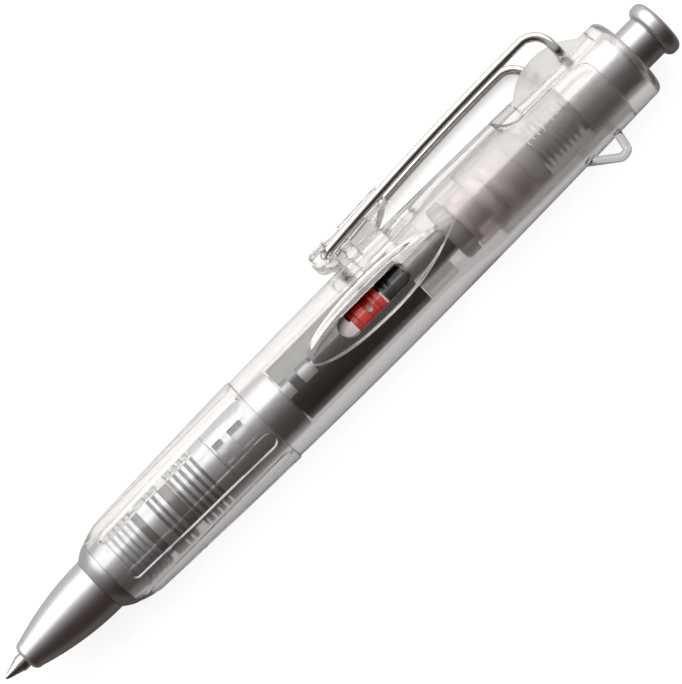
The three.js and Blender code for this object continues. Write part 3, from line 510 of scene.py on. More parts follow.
# %% Build a mesh from rings of points
def grid_faces(rows, columns, wrap_rows=True):
    """Quads between neighbours of a grid of points, numbered row by row, each row a closed ring."""
    i = np.arange(rows if wrap_rows else rows - 1)
    i, j = [a.ravel() for a in np.meshgrid(i, np.arange(columns), indexing="ij")]
    below = ((i + 1) % rows) * columns
    beside = (j + 1) % columns
    return np.column_stack([i * columns + j, i * columns + beside, below + beside, below + j])


def raw_object(name, points, faces):
    """An object in pen millimetres, its doubles merged and its faces pointing outwards."""
    mesh = bpy.data.meshes.new(name)
    mesh.from_pydata(np.asarray(points).tolist(), [], [list(f) for f in faces])
    work = bmesh.new()
    work.from_mesh(mesh)
    bmesh.ops.remove_doubles(work, verts=work.verts, dist=1e-4)
    bmesh.ops.dissolve_degenerate(work, edges=work.edges, dist=1e-5)
    bmesh.ops.recalc_face_normals(work, faces=work.faces)
    if work.calc_volume(signed=True) < 0:
        bmesh.ops.reverse_faces(work, faces=work.faces)
    work.to_mesh(mesh)
    work.free()
    made = bpy.data.objects.new(name, mesh)
    bpy.context.scene.collection.objects.link(made)
    return made


def ring_surface(name, x, radius, angle):
    """A closed surface of rings round the axis, one in each row: y = r cos a, z = r sin a."""
    points = np.stack([x, radius * np.cos(angle), radius * np.sin(angle)], -1).reshape(-1, 3)
    return raw_object(name, points, grid_faces(len(x), len(angle)))


def plain_rings(outline, sides):
    """An outline's stations and radii, each repeated all the way round."""
    outline = np.asarray(outline, float)
    return np.repeat(outline[:, :1], sides, 1), np.repeat(outline[:, 1:], sides, 1)


def lathe(name, outline, sides=128):
    """Carries a closed outline of (station, radius) round the axis."""
    angle = np.linspace(0, 2 * math.pi, sides, endpoint=False)
    return ring_surface(name, *plain_rings(outline, sides), angle)


def walls_between(name, low_ring, high_ring):
    """Quads between two rings of 3D points that match one to one, and a face over each ring."""
    count = len(low_ring)
    ring = np.arange(count)
    beside = (ring + 1) % count
    walls = np.column_stack([ring, beside, beside + count, ring + count]).tolist()
    ends = [ring.tolist(), (ring[::-1] + count).tolist()]
    return raw_object(name, np.concatenate([low_ring, high_ring]), walls + ends)


def prism(name, outline, low, high, plane="xy"):
    """An outline in the xy or xz plane, carried straight from low to high along the third axis."""
    a, b = np.asarray(outline, float).T
    rings = []
    for level in (low, high):
        third = np.full(len(a), float(level))
        rings.append(np.column_stack([a, b, third] if plane == "xy" else [a, third, b]))
    return walls_between(name, *rings)


# %% Cut and join
# How far cutters reach: past the barrel's radius, and well past the whole pen.
THROUGH, BEYOND = 9, 20


def combine(piece, tool, how="DIFFERENCE"):
    """Cuts, joins or intersects a piece with a tool, bakes the result and removes the tool."""
    modifier = piece.modifiers.new("combine", "BOOLEAN")
    modifier.object = tool
    modifier.operation = how
    modifier.solver = "EXACT"
    graph = bpy.context.evaluated_depsgraph_get()
    mesh = bpy.data.meshes.new_from_object(piece.evaluated_get(graph))
    piece.modifiers.clear()
    old = piece.data
    piece.data = mesh
    bpy.data.meshes.remove(old)
    bpy.data.objects.remove(tool)


# %% Finish a piece
def finished(piece, body, finish, nodes, sharp=32):
    """Smooths a piece, moves it into the frame, gives it its finish and lets it ride its body.

    A piece without a body is left unattached.
    """
    mesh = piece.data
    points = np.empty(len(mesh.vertices) * 3)
    mesh.vertices.foreach_get("co", points)
    mesh.vertices.foreach_set("co", placed(points.reshape(-1, 3)).ravel())
    mesh.polygons.foreach_set("use_smooth", np.ones(len(mesh.polygons), bool))
    mesh.set_sharp_from_angle(angle=math.radians(sharp))
    mesh.materials.clear()
    mesh.materials.append(finish)
    mesh.update()
    if body:
        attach(piece, body)
    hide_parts(*nodes)
    print(piece.name, len(mesh.vertices), "points")
    return piece


# %% Find faces by their place, to give them a second finish
# The turn that undoes the roll of the pen.
UNROLLED = np.array([[1, 0, 0], [0, math.cos(ROLL), math.sin(ROLL)], [0, -math.sin(ROLL), math.cos(ROLL)]])


def face_vectors(piece, kind):
    """One vector per face, in the frame's axes: its center or its normal."""
    vectors = np.empty(len(piece.data.polygons) * 3)
    piece.data.polygons.foreach_get(kind, vectors)
    return vectors.reshape(-1, 3)


def face_middles(piece):
    """Each face's middle in pen mm: its station, its height to the clip and its height to the window."""
    return (face_vectors(piece, "center") * 1000 - [BALL, AXIS.y, AXIS.z]) @ UNROLLED.T


def face_directions(piece):
    """The way each face looks, in the pen's own axes."""
    return face_vectors(piece, "normal") @ UNROLLED.T


def second_finish(piece, finish, chosen):
    """Gives the chosen faces of a finished piece another material."""
    index = np.empty(len(piece.data.polygons), np.int32)
    piece.data.polygons.foreach_get("material_index", index)
    index[chosen] = len(piece.data.materials)
    piece.data.materials.append(finish)
    piece.data.polygons.foreach_set("material_index", index)
    print(piece.name, "has", int(chosen.sum()), "faces in", finish.name)


# %% Carry a round section along a path
def rounded_path(corners, radii, steps=12):
    """A path through 3D corners whose bends are arcs, each tangent to the straights beside it."""
    corners = [np.array(c, float) for c in corners]
    path = [corners[0]]
    for corner, before, after, radius in zip(corners[1:-1], corners[:-2], corners[2:], radii):
        back = (before - corner) / np.linalg.norm(before - corner)
        ahead = (after - corner) / np.linalg.norm(after - corner)
        opening = math.acos(np.clip(back @ ahead, -1, 1))
        reach = radius / math.tan(opening / 2)
        middle = (back + ahead) / np.linalg.norm(back + ahead)
        centre = corner + middle * radius / math.sin(opening / 2)
        first = corner + back * reach - centre
        last = corner + ahead * reach - centre
        path.extend(centre + swept(first, last, math.pi - opening, steps))
    path.append(corners[-1])
    return np.array(path)


def carried(name, path, radius, sides=24):
    """A round section along a path with closed ends: path + radius (side cos a + up sin a).

    Each side direction is the last one with its part along the path taken out, so the section
    doesn't twist.
    """
    path = np.asarray(path, float)
    ahead = np.gradient(path, axis=0)
    ahead /= np.linalg.norm(ahead, axis=1)[:, None]
    side = np.array([0.31, 0.83, 0.47])
    sides_at = []
    for direction in ahead:
        side = side - direction * (side @ direction)
        side = side / np.linalg.norm(side)
        sides_at.append(side)
    sides_at = np.array(sides_at)
    ups = np.cross(ahead, sides_at)
    angle = np.linspace(0, 2 * math.pi, sides, endpoint=False)
    ring = sides_at[:, None] * np.cos(angle)[:, None] + ups[:, None] * np.sin(angle)[:, None]
    points = (path[:, None] + ring * radius).reshape(-1, 3)
    faces = grid_faces(len(path), sides, wrap_rows=False).tolist()
    faces.append(list(range(sides)))
    faces.append(list(range((len(path) - 1) * sides, len(path) * sides)))
    return raw_object(name, points, faces)


# %% [markdown]
# ## Nose cone and writing tip
#
# The nose is a long curved cone with a small bevelled front face. Its curve is a power of the
# distance from its rear, which stays nearly straight at the front and turns level where it meets
# the neck. A Bezier curve could be drawn over the photograph, but one power fits it and has no
# handles to keep in line. The refill's tip is turned nickel silver: a shank, a small step and a slim
# cone that holds the ball.

# %% Nose cone
nose_front, nose_screw_end = span("nose_cone")
nose_rear = nose_front + 14.4
CURVE_LENGTH = 13.3
CURVE_FRONT, CURVE_REAR = 2.32, 4.3
TIP_HOLE = 1.3
SPIGOT_RADIUS, SPIGOT_BORE = 3.3, 2.7

share = np.linspace(1, 0, 25)
curve_radius = CURVE_REAR - (CURVE_REAR - CURVE_FRONT) * share**2.05
curve = np.column_stack([nose_rear - share * CURVE_LENGTH, curve_radius])
front_ring = arc(nose_front + 0.95, 1.35, 0.95, 172, 102, 8)
rear_edge = [*curve[-2:], (nose_rear, SPIGOT_RADIUS), (nose_rear + 0.6, SPIGOT_RADIUS)]
spigot = [
    (nose_screw_end, SPIGOT_RADIUS),
    (nose_screw_end, SPIGOT_BORE),
    (nose_front + 3.7, SPIGOT_BORE),
    (nose_front + 2.2, TIP_HOLE),
]
nose_outline = np.concatenate(
    [
        [(nose_front + 0.1, TIP_HOLE)],
        front_ring,
        curve[:-1],
        eased(rear_edge, 0.06, closed=False)[1:-1],
        spigot,
    ]
)
finished(lathe("nose_shell", nose_outline), "barrel", satin_silver, ["nose_cone"])

# %% Tip and ball
tip_rear = span("refill_tip")[1]
CONE_END = 2.65
SHANK_END = 8.5
SHANK_RADIUS, TIP_COLLAR = 1.2, 1.7
BALL_RADIUS = 0.35

tip_outline = [
    (0.55, 0),
    (0.55, 0.3),
    (0.42, 0.36),
    (0.5, 0.42),
    (CONE_END, 1.08),
    (CONE_END + 0.02, SHANK_RADIUS),
    (SHANK_END, SHANK_RADIUS),
    (SHANK_END, TIP_COLLAR),
    (tip_rear, TIP_COLLAR),
    (tip_rear, 0),
]
tip = lathe("tip_shell", eased(tip_outline, 0.05), 96)
finished(tip, "refill", turned_steel, ["refill_tip"])
turn = np.linspace(math.pi, 0, 25)
ball_outline = BALL_RADIUS * np.column_stack([1 + np.cos(turn), np.sin(turn)])
finished(lathe("writing_ball", ball_outline, 48), "refill", polished_steel, ["tip_ball"])

# %% [markdown]
# ## Grip core
#
# Under the clear grip runs a silver tube. Its round shoulder carries on from the nose's curve and
# shows in front of the grip. Behind it come five rounded ribs, grooves, a waist and two pairs of
# square openings, and last a slimmer spigot that goes into the black sleeve. They show through the
# grip as rows of bright and dark bars, so their spacing matters more than their depth. The openings
# could go right through, but then they look into a dark tube. As pockets with a floor that is
# silver too, they catch light as the real ones do. The faces inside the grooves get a dark finish,
# which is painted shade.

# %% Grip core
core_front, core_rear = span("grip_core")
grip_front, grip_rear = span("grip_sleeve")
CORE_RADIUS = 4.9
CORE_BORE = 3.5
NECK_RADIUS, SHOULDER_RADIUS = 4.33, 5.5
RIB_PITCH, RIB_FOOT, RIB_HEIGHT = 0.95, 4.55, 0.35
GROOVE_FLOOR = 4.0
WAIST_RADIUS = 3.85
POCKET_FLOOR = 3.85
REAR_SPIGOT = 3.83

neck = nose_rear + 0.03
shoulder_end = grip_front - 0.04
swell = np.sin(np.linspace(0, 1.35, 12)) / math.sin(1.35)
shoulder_x = np.linspace(neck, shoulder_end, 12)
shoulder_radius = NECK_RADIUS + (SHOULDER_RADIUS - NECK_RADIUS) * swell
core_outline = [(neck, 3.6), *zip(shoulder_x, shoulder_radius), (shoulder_end, RIB_FOOT)]
across_rib = np.linspace(-0.98, 0.98, 15)
for centre in grip_front + 3.05 + RIB_PITCH * np.arange(5):
    rib_radius = RIB_FOOT + RIB_HEIGHT * np.sqrt(1 - across_rib**2)
    core_outline += zip(centre + RIB_PITCH / 2 * across_rib, rib_radius)
band = grip_front + 7.2
waist = grip_front + 12.3
openings = grip_front + 21.4
core_outline += [(band, GROOVE_FLOOR), (band + 1.2, GROOVE_FLOOR), (band + 1.2, CORE_RADIUS)]
core_outline += grooves([band + 2.95, band + 3.95], 0.5, CORE_RADIUS, GROOVE_FLOOR)
core_outline += grooves([waist], 1.7, CORE_RADIUS, WAIST_RADIUS)
core_outline += grooves(waist + 1.85 + 1.07 * np.arange(5), 0.5, CORE_RADIUS, GROOVE_FLOOR)
core_outline += grooves([openings], 0.12, CORE_RADIUS, CORE_RADIUS - 0.3)
core_outline += [(core_rear, 4.88), (core_rear, REAR_SPIGOT)]
core_outline += [(core_rear + 6.0, REAR_SPIGOT), (core_rear + 6.0, CORE_BORE)]
core_outline += [(core_front + 6, CORE_BORE), (core_front + 4.7, CORE_BORE), (core_front + 4.7, 3.6)]
grip_core = lathe("silver_core", eased(core_outline, 0.05, 3), 120)

# %% Pockets of the core, and painted shade in its grooves
for start, length in ((0.4, 1.6), (3.2, 2.4)):
    x = openings + start
    pocket = prism("pocket", eased(rectangle(x, x + length, 1.6), 0.2), -THROUGH, THROUGH)
    combine(pocket, lathe("cutter", tube(x - 1, x + length + 1, 0, POCKET_FLOOR), 120))
    combine(grip_core, pocket)
finished(grip_core, "barrel", core_silver_painted_shade, ["grip_core"])
middle = face_middles(grip_core)
radius = np.hypot(middle[:, 1], middle[:, 2])
behind_ribs = (middle[:, 0] > band - 0.02) & (middle[:, 0] < openings - 1)
sunk_below_surface = (radius < CORE_RADIUS - 0.12) & (radius > CORE_BORE + 0.1)
# The faces sunk into the grooves get painted shade: a dark finish that stands in for the shade there.
second_finish(grip_core, groove_painted_shade_resin, behind_ribs & sunk_below_surface)

# %% [markdown]
# ## Grip sleeve
#
# The grip is a thick clear sleeve that swells towards the barrel, with six long dimples for the
# fingers. Each dimple is shallow, with a fine groove along its outline. On the edge that faces the
# softbox the groove is left out and the step runs out softly, as it looks there. Cutting the
# dimples with booleans would leave hard edges. Here the outside is one grid over station and angle,
# and a dimple is a smooth step in depth, worked out from each point's distance to its outline.

# %% Radius and dimples of the grip
GRIP_BORE = 5.2
GRIP_RIM = 7.175
BEVEL_LENGTH = 3.5
FRONT_RADIUS, BEVEL_RADIUS, REAR_RADIUS = 5.55, 6.44, 7.185
DIMPLE_DEPTH, DIMPLE_STEP, SOFT_STEP = 0.14, 0.16, 0.9
GROOVE_DEPTH, GROOVE_INSET, GROOVE_WIDTH = 0.12, 0.2, 0.14
DIMPLE_FRONT, DIMPLE_REAR = 0.95, 1.25


def smooth_step(value, start, end):
    """0 before start, 1 after end, and a smooth S between them: t * t * (3 - 2 t)."""
    t = np.clip((value - start) / (end - start), 0, 1)
    return t * t * (3 - 2 * t)


def grip_radius(x):
    """A soft bevel at the front, then a power curve that swells to the rear."""
    bevel_end = grip_front + BEVEL_LENGTH
    front = np.clip((bevel_end - x) / BEVEL_LENGTH, 0, 1)
    bevel = BEVEL_RADIUS - (BEVEL_RADIUS - FRONT_RADIUS) * front**1.5
    ahead = np.clip((grip_rear - x) / (grip_rear - bevel_end), 0, 1)
    return np.where(x < bevel_end, bevel, REAR_RADIUS - (REAR_RADIUS - BEVEL_RADIUS) * ahead**1.3)


def dimple_depth(x, across):
    """How far inside a tapered oblong outline a point lies, in mm: positive inside."""
    start, end = grip_front + 1.9, grip_rear - 0.3
    half = DIMPLE_FRONT + (DIMPLE_REAR - DIMPLE_FRONT) * np.clip((x - start) / (end - start), 0, 1)
    nearest = np.clip(x, start + DIMPLE_FRONT, end - DIMPLE_REAR)
    return half - np.hypot(x - nearest, across)


# %% Outside of the grip
x_rows = np.concatenate(
    [
        grip_front + 1.8 * np.linspace(0, 1, 10) ** 1.5,
        np.linspace(grip_front + 1.88, grip_front + 4.0, 26),
        np.linspace(grip_front + 4.3, grip_rear - 3, 70),
        np.linspace(grip_rear - 2.9, grip_rear - 0.12, 32),
    ]
)
columns = 420
angle = np.linspace(0, 2 * math.pi, columns, endpoint=False)
x_grid, angle_grid = np.meshgrid(x_rows, angle, indexing="ij")
outer = grip_radius(x_grid)
around = (angle_grid + math.pi / 6) % (math.pi / 3) - math.pi / 6
inside = dimple_depth(x_grid, around * outer)
under_softbox = (angle_grid > math.radians(30)) & (angle_grid < math.radians(58))
outer = outer - DIMPLE_DEPTH * smooth_step(inside, 0.0, np.where(under_softbox, SOFT_STEP, DIMPLE_STEP))
groove_depth = np.where(under_softbox, 0.0, GROOVE_DEPTH)
outer = outer - groove_depth * np.exp(-(((inside - GROOVE_INSET) / GROOVE_WIDTH) ** 2))
rim = [(grip_rear - 0.12, GRIP_RIM), (grip_rear, GRIP_RIM), (grip_rear, GRIP_BORE), (grip_front, GRIP_BORE)]
rim = eased(rim, 0.04, closed=False)[1:]
x_rim, radius_rim = plain_rings(rim, columns)
sleeve = ring_surface("grip_shell", np.vstack([x_grid, x_rim]), np.vstack([outer, radius_rim]), angle)
finished(sleeve, "barrel", clear_elastomer, ["grip_sleeve"])

# %% [markdown]
# ## Barrel
#
# The barrel is a clear tube whose front half has a thick wall and whose rear half is bored out
# wider. A leaf-shaped scoop is sunk into its viewing side, and an oblong hole goes through it. The
# scoop's floor is a chord from one edge of the leaf to the other, sunk a little more. So it lies
# deepest where the leaf is widest, and rises to the outside at both tips. The outside is again one
# grid, fine round the leaf, because the long tips are too thin for a boolean to keep clean. The
# hole, the step for the tail cap's tongue and the lanyard loop have plain walls, so they are cut
# and joined.

# %% Radius and leaf of the barrel
barrel_front, barrel_rear = span("barrel_tube")
cap_rear = span("tail_cap")[1]
rim_front = grip_rear + 0.02
belly = barrel_front + 19.9
leaf_start = barrel_front + 8.7
leaf_end = leaf_start + 29.0
step_station = barrel_rear + 0.15 - 35.6
BELLY_RADIUS = 7.21
BARREL_RIM = 6.98
FRONT_BORE, REAR_BORE = 5.2, 5.95
BORE_SLOPE = 11.0
LEAF_HALF = 3.28
TIP_DEPTH, MIDDLE_DEPTH = 0.06, 0.3
CLIP_SIDE_BEVEL, FAR_SIDE_BEVEL = 0.75, 0.32


def barrel_radius(x):
    """A soft belly: a little less towards the front, and drawn in by a power towards the tail cap."""
    front = np.clip((belly - x) / (belly - barrel_front), 0, None)
    rear = np.clip((x - belly) / (cap_rear - belly), 0, None)
    return BELLY_RADIUS - 0.23 * front**2 - 0.75 * rear**1.6


def leaf_half_height(x):
    """Half the leaf's height: round in front of its middle, pointed behind it."""
    middle = (leaf_start + leaf_end) / 2
    front = np.clip((middle - x) / (middle - leaf_start - 0.7), 0, 1)
    rear = np.clip((x - middle) / (leaf_end - middle), 0, 1)
    return LEAF_HALF * np.where(x < middle, (1 - front**2.4) ** 0.5, 1 - rear**2)


# %% Barrel with its scoop
x_rows = np.concatenate(
    [
        np.linspace(rim_front + 0.12, leaf_start - 0.6, 14),
        np.linspace(leaf_start - 0.5, leaf_end + 0.5, 230),
        np.linspace(leaf_end + 1.0, barrel_rear + 2.0, 40),
    ]
)
fine_reach = 3.6 / BELLY_RADIUS
fine = np.linspace(-fine_reach, fine_reach, 91)
coarse = np.linspace(fine_reach, 2 * math.pi - fine_reach, 96)[1:-1]
angle = np.concatenate([fine, coarse]) + math.pi / 2
x_grid, angle_grid = np.meshgrid(x_rows, angle, indexing="ij")
outer = barrel_radius(x_grid)
across = outer * np.cos(angle_grid)
upwards = np.sin(angle_grid)
inside = np.where(upwards > 0.5, leaf_half_height(x_grid) - np.abs(across), -1)
floor_height = np.sqrt(outer**2 - leaf_half_height(x_grid) ** 2)
flat_level = floor_height / np.maximum(upwards, 0.5)
middle_share = smooth_step(x_grid, leaf_start, leaf_start + 4)
middle_share = middle_share - smooth_step(x_grid, leaf_end - 8, leaf_end - 1)
sunk = np.minimum(outer, flat_level) - TIP_DEPTH - (MIDDLE_DEPTH - TIP_DEPTH) * middle_share
bevel = np.where(across > 0, CLIP_SIDE_BEVEL, FAR_SIDE_BEVEL)
outer = outer + (sunk - outer) * smooth_step(inside, 0.0, bevel)
front_rim = [(step_station, FRONT_BORE), (rim_front, FRONT_BORE), (rim_front, BARREL_RIM)]
front_rim = eased([*front_rim, (rim_front + 0.12, BARREL_RIM)], 0.04, closed=False)
slope_x = np.linspace(step_station + BORE_SLOPE, step_station, 24)
widening = smooth_step(slope_x, step_station, step_station + BORE_SLOPE)
slope = np.column_stack([slope_x, FRONT_BORE + (REAR_BORE - FRONT_BORE) * widening])
bore = np.concatenate([[(barrel_rear + 2.0, REAR_BORE)], slope, front_rim[1:-1]])
x_bore, radius_bore = plain_rings(bore, len(angle))
barrel = ring_surface("barrel_shell", np.vstack([x_bore, x_grid]), np.vstack([radius_bore, outer]), angle)

# %% Cut the hole and the tongue's step, and join the loop
TONGUE_LENGTH = 14.8
TONGUE_LEVEL = 3.35
CONCAVE, CONVEX = 3.1, 2.2
HOLE_LENGTH, HOLE_HEIGHT = 12.7, 3.2
LOOP_WIRE, LOOP_SEAT = 0.62, 6.2
LOOP_ROOT, LOOP_FAR = -6.33, -9.35


def tongue_split(shift):
    """The side view of the split: down a concave curve, level, and down a convex curve to the ring."""
    end = barrel_rear + 0.15 + shift
    front = end - TONGUE_LENGTH
    level = TONGUE_LEVEL + shift
    return np.concatenate(
        [
            [(front, BEYOND)],
            arc(front + CONCAVE, level + CONCAVE, CONCAVE, 180, 270, 20),
            arc(end - CONVEX, level - CONVEX, CONVEX, 90, 0, 16),
            [(end, -BEYOND), (cap_rear + BEYOND, -BEYOND), (cap_rear + BEYOND, BEYOND)],
        ]
    )


hole_start = barrel_front + 15.2
combine(barrel, prism("cutter", stadium(hole_start, hole_start + HOLE_LENGTH, HOLE_HEIGHT), 0, THROUGH))
combine(barrel, prism("cutter", tongue_split(-0.1), -BEYOND, BEYOND))
loop_front, loop_rear, loop_apex = cap_rear - 14.6, cap_rear - 8.8, cap_rear - 10.7
loop_corners = [
    (loop_front, LOOP_ROOT, 0),
    (loop_apex, LOOP_FAR, 0),
    (loop_apex + 1.3, LOOP_FAR + 0.2, 0),
    (loop_rear, LOOP_ROOT, 0),
]
loop = carried("loop", rounded_path(loop_corners, [0.9, 0.7]), LOOP_WIRE)
combine(loop, lathe("cutter", tube(loop_front - THROUGH, loop_rear + THROUGH, 0, LOOP_SEAT), 128))
combine(barrel, loop, "UNION")
finished(barrel, "barrel", clear_styrene, ["barrel_tube"])

# %% [markdown]
# ## Painted highlight on the bevel
#
# The leaf's bevel on the clip side reads as a white edge under the softbox, widest in the middle of
# the leaf. That white edge is a painted highlight: the faces between the leaf's edge and a curve
# under it get a near-white, nearly opaque resin.

# %% Paint the highlight on the leaf's bevel
middle = face_middles(barrel)
below_edge = leaf_half_height(middle[:, 0]) - middle[:, 1]
highlight_width = CLIP_SIDE_BEVEL * (1 - ((middle[:, 0] - leaf_start - 12.6) / 10.5) ** 2)
on_painted_highlight = (middle[:, 2] > 5) & (below_edge > 0) & (below_edge < highlight_width)
# The faces along the clip-side bevel get the painted highlight.
second_finish(barrel, painted_highlight_styrene, on_painted_highlight)

# %% [markdown]
# ## Tail cap
#
# The cap screws in with a long skirt inside the barrel, and its tongue fills the step in the
# barrel's top. On the tongue, two shelves leave a thin upright fin in the middle, which holds the
# clip's two ends in two holes. The cap follows the barrel's own radius, so the joint between them
# is even all round. It is turned like the rest, and then cut and joined, because the tongue and the
# fin have flat walls that no turned surface has.

# %% Tail cap
cap_front = span("tail_cap")[0]
CAP_BORE = 4.7
SKIRT_RADIUS = 5.7
END_RADIUS, END_ROUND = 6.48, 1.1
BUTTON_HOLE = 3.5
SHELF = 5.2
FIN_HALF, FIN_RADIUS = 0.8, 8.9
PIN_HOLE, PIN_FLOOR = 0.95, 0.2
NEAR_HEIGHT, FAR_HEIGHT = 6.2, 6.8

shell_front = barrel_rear - 16.0
shell_x = np.linspace(shell_front, cap_rear - END_ROUND, 40)
end_face = [
    (cap_rear, 5.0),
    (cap_rear, BUTTON_HOLE),
    (cap_rear - 1, BUTTON_HOLE),
    (cap_rear - 1, CAP_BORE),
    (cap_rear - 5, CAP_BORE),
]
cap_outline = np.concatenate(
    [
        [(shell_front, CAP_BORE)],
        np.column_stack([shell_x, barrel_radius(shell_x)]),
        arc(cap_rear - END_ROUND, END_RADIUS - END_ROUND, END_ROUND, 82, 0, 10),
        eased(end_face, 0.08, closed=False)[1:-1],
    ]
)
cap = lathe("cap_shell", cap_outline, 160)
combine(cap, prism("cutter", tongue_split(0.1), -BEYOND, BEYOND), "INTERSECT")
skirt_outline = eased(tube(cap_front, cap_rear - 4.8, CAP_BORE, SKIRT_RADIUS), 0.1)
combine(cap, lathe("skirt", skirt_outline, 160), "UNION")

# %% Shelves, fin and pin holes
shelf_start, shelf_end = cap_rear - 16.4, cap_rear - 2.3
for low, high in ((FIN_HALF, BEYOND), (-BEYOND, -FIN_HALF)):
    above_shelf = np.concatenate(
        [
            [(shelf_start, BEYOND)],
            arc(shelf_start + 0.3, SHELF + 0.3, 0.3, 180, 270, 6),
            arc(shelf_end - 0.3, SHELF + 0.3, 0.3, 270, 360, 6),
            [(shelf_end, BEYOND)],
        ]
    )
    combine(cap, prism("cutter", above_shelf, low, high))
fin_arc = arc(cap_rear - 9.7, 0.1, FIN_RADIUS, 32, 148, 60)
fin_foot = [(fin_arc[-1][0], SHELF - 0.4), (fin_arc[0][0], SHELF - 0.4)]
fin_outline = eased(np.concatenate([fin_arc[:-1], fin_foot]), 0.2)
combine(cap, prism("fin", fin_outline, -FIN_HALF, FIN_HALF), "UNION")
near_pin, far_pin = cap_rear - 6.8, cap_rear - 11.35
combine(cap, prism("cutter", circle(near_pin, NEAR_HEIGHT, PIN_HOLE), -PIN_FLOOR, THROUGH))
combine(cap, prism("cutter", circle(far_pin, FAR_HEIGHT, PIN_HOLE), -THROUGH, PIN_FLOOR))
finished(cap, "barrel", clear_styrene, ["tail_cap"], sharp=28)

# %% [markdown]
# ## Frosted fin, hazed skirt
#
# The flat sides of the fin come off a textured mould wall and look like frosted glass. The skirt and
# the end ring are only a little dull. One object can carry several materials, so the faces are
# picked by where they lie and which way they look, and the mesh stays one closed piece.

# %% Frost the fin, and haze the skirt and the end ring
middle = face_middles(cap)
radius = np.hypot(middle[:, 1], middle[:, 2])
looks_aside = np.abs(face_directions(cap)[:, 2]) > 0.98
on_fin = looks_aside & (middle[:, 1] > SHELF + 0.02) & (np.abs(middle[:, 2]) < FIN_HALF + 0.1)
on_end = middle[:, 0] > cap_rear - 1.05
on_skirt = (radius < SKIRT_RADIUS + 0.05) & (middle[:, 0] < cap_rear - 4.9) & ~on_fin
second_finish(cap, frosted_styrene, on_fin)
second_finish(cap, hazed_styrene, on_skirt | on_end)

# %% [markdown]
# ## Inner sleeve and bush
#
# A glossy black sleeve lines the barrel's front half, with a notch, an opening and a long slot. The
# slot lies under the barrel's hole, and shows the refill's works. A clear bush closes the barrel
# behind it. Both are plain tubes, so an outline of four corners is enough. The sleeve's openings go
# right through to its far side, because they are cut with one straight tool.

# %% Inner sleeve and bush
inner_front, inner_rear = span("inner_sleeve")
LINING_RADIUS = 4.6
OPENING_HALF = 1.175

inner = lathe("black_sleeve", eased(tube(inner_front, inner_rear, 3.9, LINING_RADIUS), 0.08), 128)
opening = inner_front + 2.9
for start, end in ((inner_front - 1, inner_front + 1.4), (opening, opening + 2.4)):
    combine(inner, prism("cutter", eased(rectangle(start, end, OPENING_HALF), 0.12), -THROUGH, THROUGH))
combine(inner, prism("cutter", stadium(inner_front + 10.8, inner_rear + 4, 3.6), -THROUGH, THROUGH))
finished(inner, "barrel", black_resin, ["inner_sleeve"])
bush_front, bush_rear = span("guide_bush")
bush = lathe("rod_bush", eased(tube(bush_front, bush_rear, 3.7, LINING_RADIUS), 0.12))
finished(bush, "barrel", clear_acetal, ["guide_bush"])

# %% [markdown]
# ## Refill tube and plug
#
# The ink tube is drawn metal, with a neck in front that the return coil goes round. A pale plug is
# pressed into its rear. They show only through the openings, so they are plain turned shapes, but
# with eased edges, which catch thin lights through the hole.

# %% Refill tube and plug
tube_front, tube_rear = span("refill_tube")
spring_step = tube_front + 31.7
TUBE_BORE, TUBE_NECK, TUBE_RADIUS = 2.0, 2.3, 3.1
PUMP_BORE, PUMP_RADIUS = 1.0, 3.4

tube_outline = [
    (tube_front, TUBE_BORE),
    (tube_front, TUBE_NECK),
    (spring_step, TUBE_NECK),
    (spring_step, TUBE_RADIUS),
    (tube_rear, TUBE_RADIUS),
    (tube_rear, TUBE_BORE),
]
ink_tube = lathe("ink_tube", eased(tube_outline, 0.06), 96)
finished(ink_tube, "refill", satin_silver, ["refill_tube"])

plug_front, plug_rear = span("refill_plug")
plug_lip = tube_rear + 0.3
plug_outline = [
    (plug_front, PUMP_BORE),
    (plug_front, 1.7),
    (plug_lip, 1.7),
    (plug_lip, PUMP_RADIUS),
    *grooves([plug_lip + 0.8], 0.8, PUMP_RADIUS, 3.0),
    (plug_rear, PUMP_RADIUS),
    (plug_rear, PUMP_BORE),
]
plug = lathe("pale_plug", eased(plug_outline, 0.08), 96)
finished(plug, "refill", pale_resin, ["refill_plug"])

# %% [markdown]
# ## Valve piston and rod
#
# These two are what the eye goes to. The red piston has a groove with a vent hole, whose floor gets
# the pale finish as a painted glint, the white dot in the hole. The black rod has two ribs in front,
# and its head carries a rubber ring inside the air cylinder. The vent could be a dark dot in the
# material, but a real hole keeps its shadow from every side. The rod's rear part doesn't show as
# black through the milky cylinder, so it gets the pale finish.

# %% Valve piston
piston_front, piston_rear = span("valve_piston")
groove = piston_front + 2.4
VENT_RADIUS, VENT_FLOOR = 0.4, 2.6

piston_outline = [
    (piston_front, PUMP_BORE),
    (piston_front, 3.1),
    (piston_front + 0.8, 3.1),
    (piston_front + 0.9, PUMP_RADIUS),
    *grooves([groove], 1.2, PUMP_RADIUS, 2.9),
    *grooves([groove + 1.7], 0.3, PUMP_RADIUS, 3.1),
    (piston_rear, PUMP_RADIUS),
    (piston_rear, PUMP_BORE),
]
piston = lathe("red_valve", eased(piston_outline, 0.07, 3), 112)
combine(piston, prism("cutter", circle(groove + 0.6, 0, VENT_RADIUS), VENT_FLOOR, THROUGH))
finished(piston, "refill", red_resin, ["valve_piston"])
# The vent's floor gets the pale finish as a painted glint.
vent_glint_floor = np.abs(face_middles(piston)[:, 2] - VENT_FLOOR) < 0.02
second_finish(piston, pale_resin, vent_glint_floor & (face_directions(piston)[:, 2] > 0.95))

# %% Piston rod and its ring
rod_front, rod_rear = span("piston_rod")
head = rod_rear - 3.0
ring_seat = head + 1.0
pale_start = rod_front + 14.6
ROD_RADIUS = 2.4

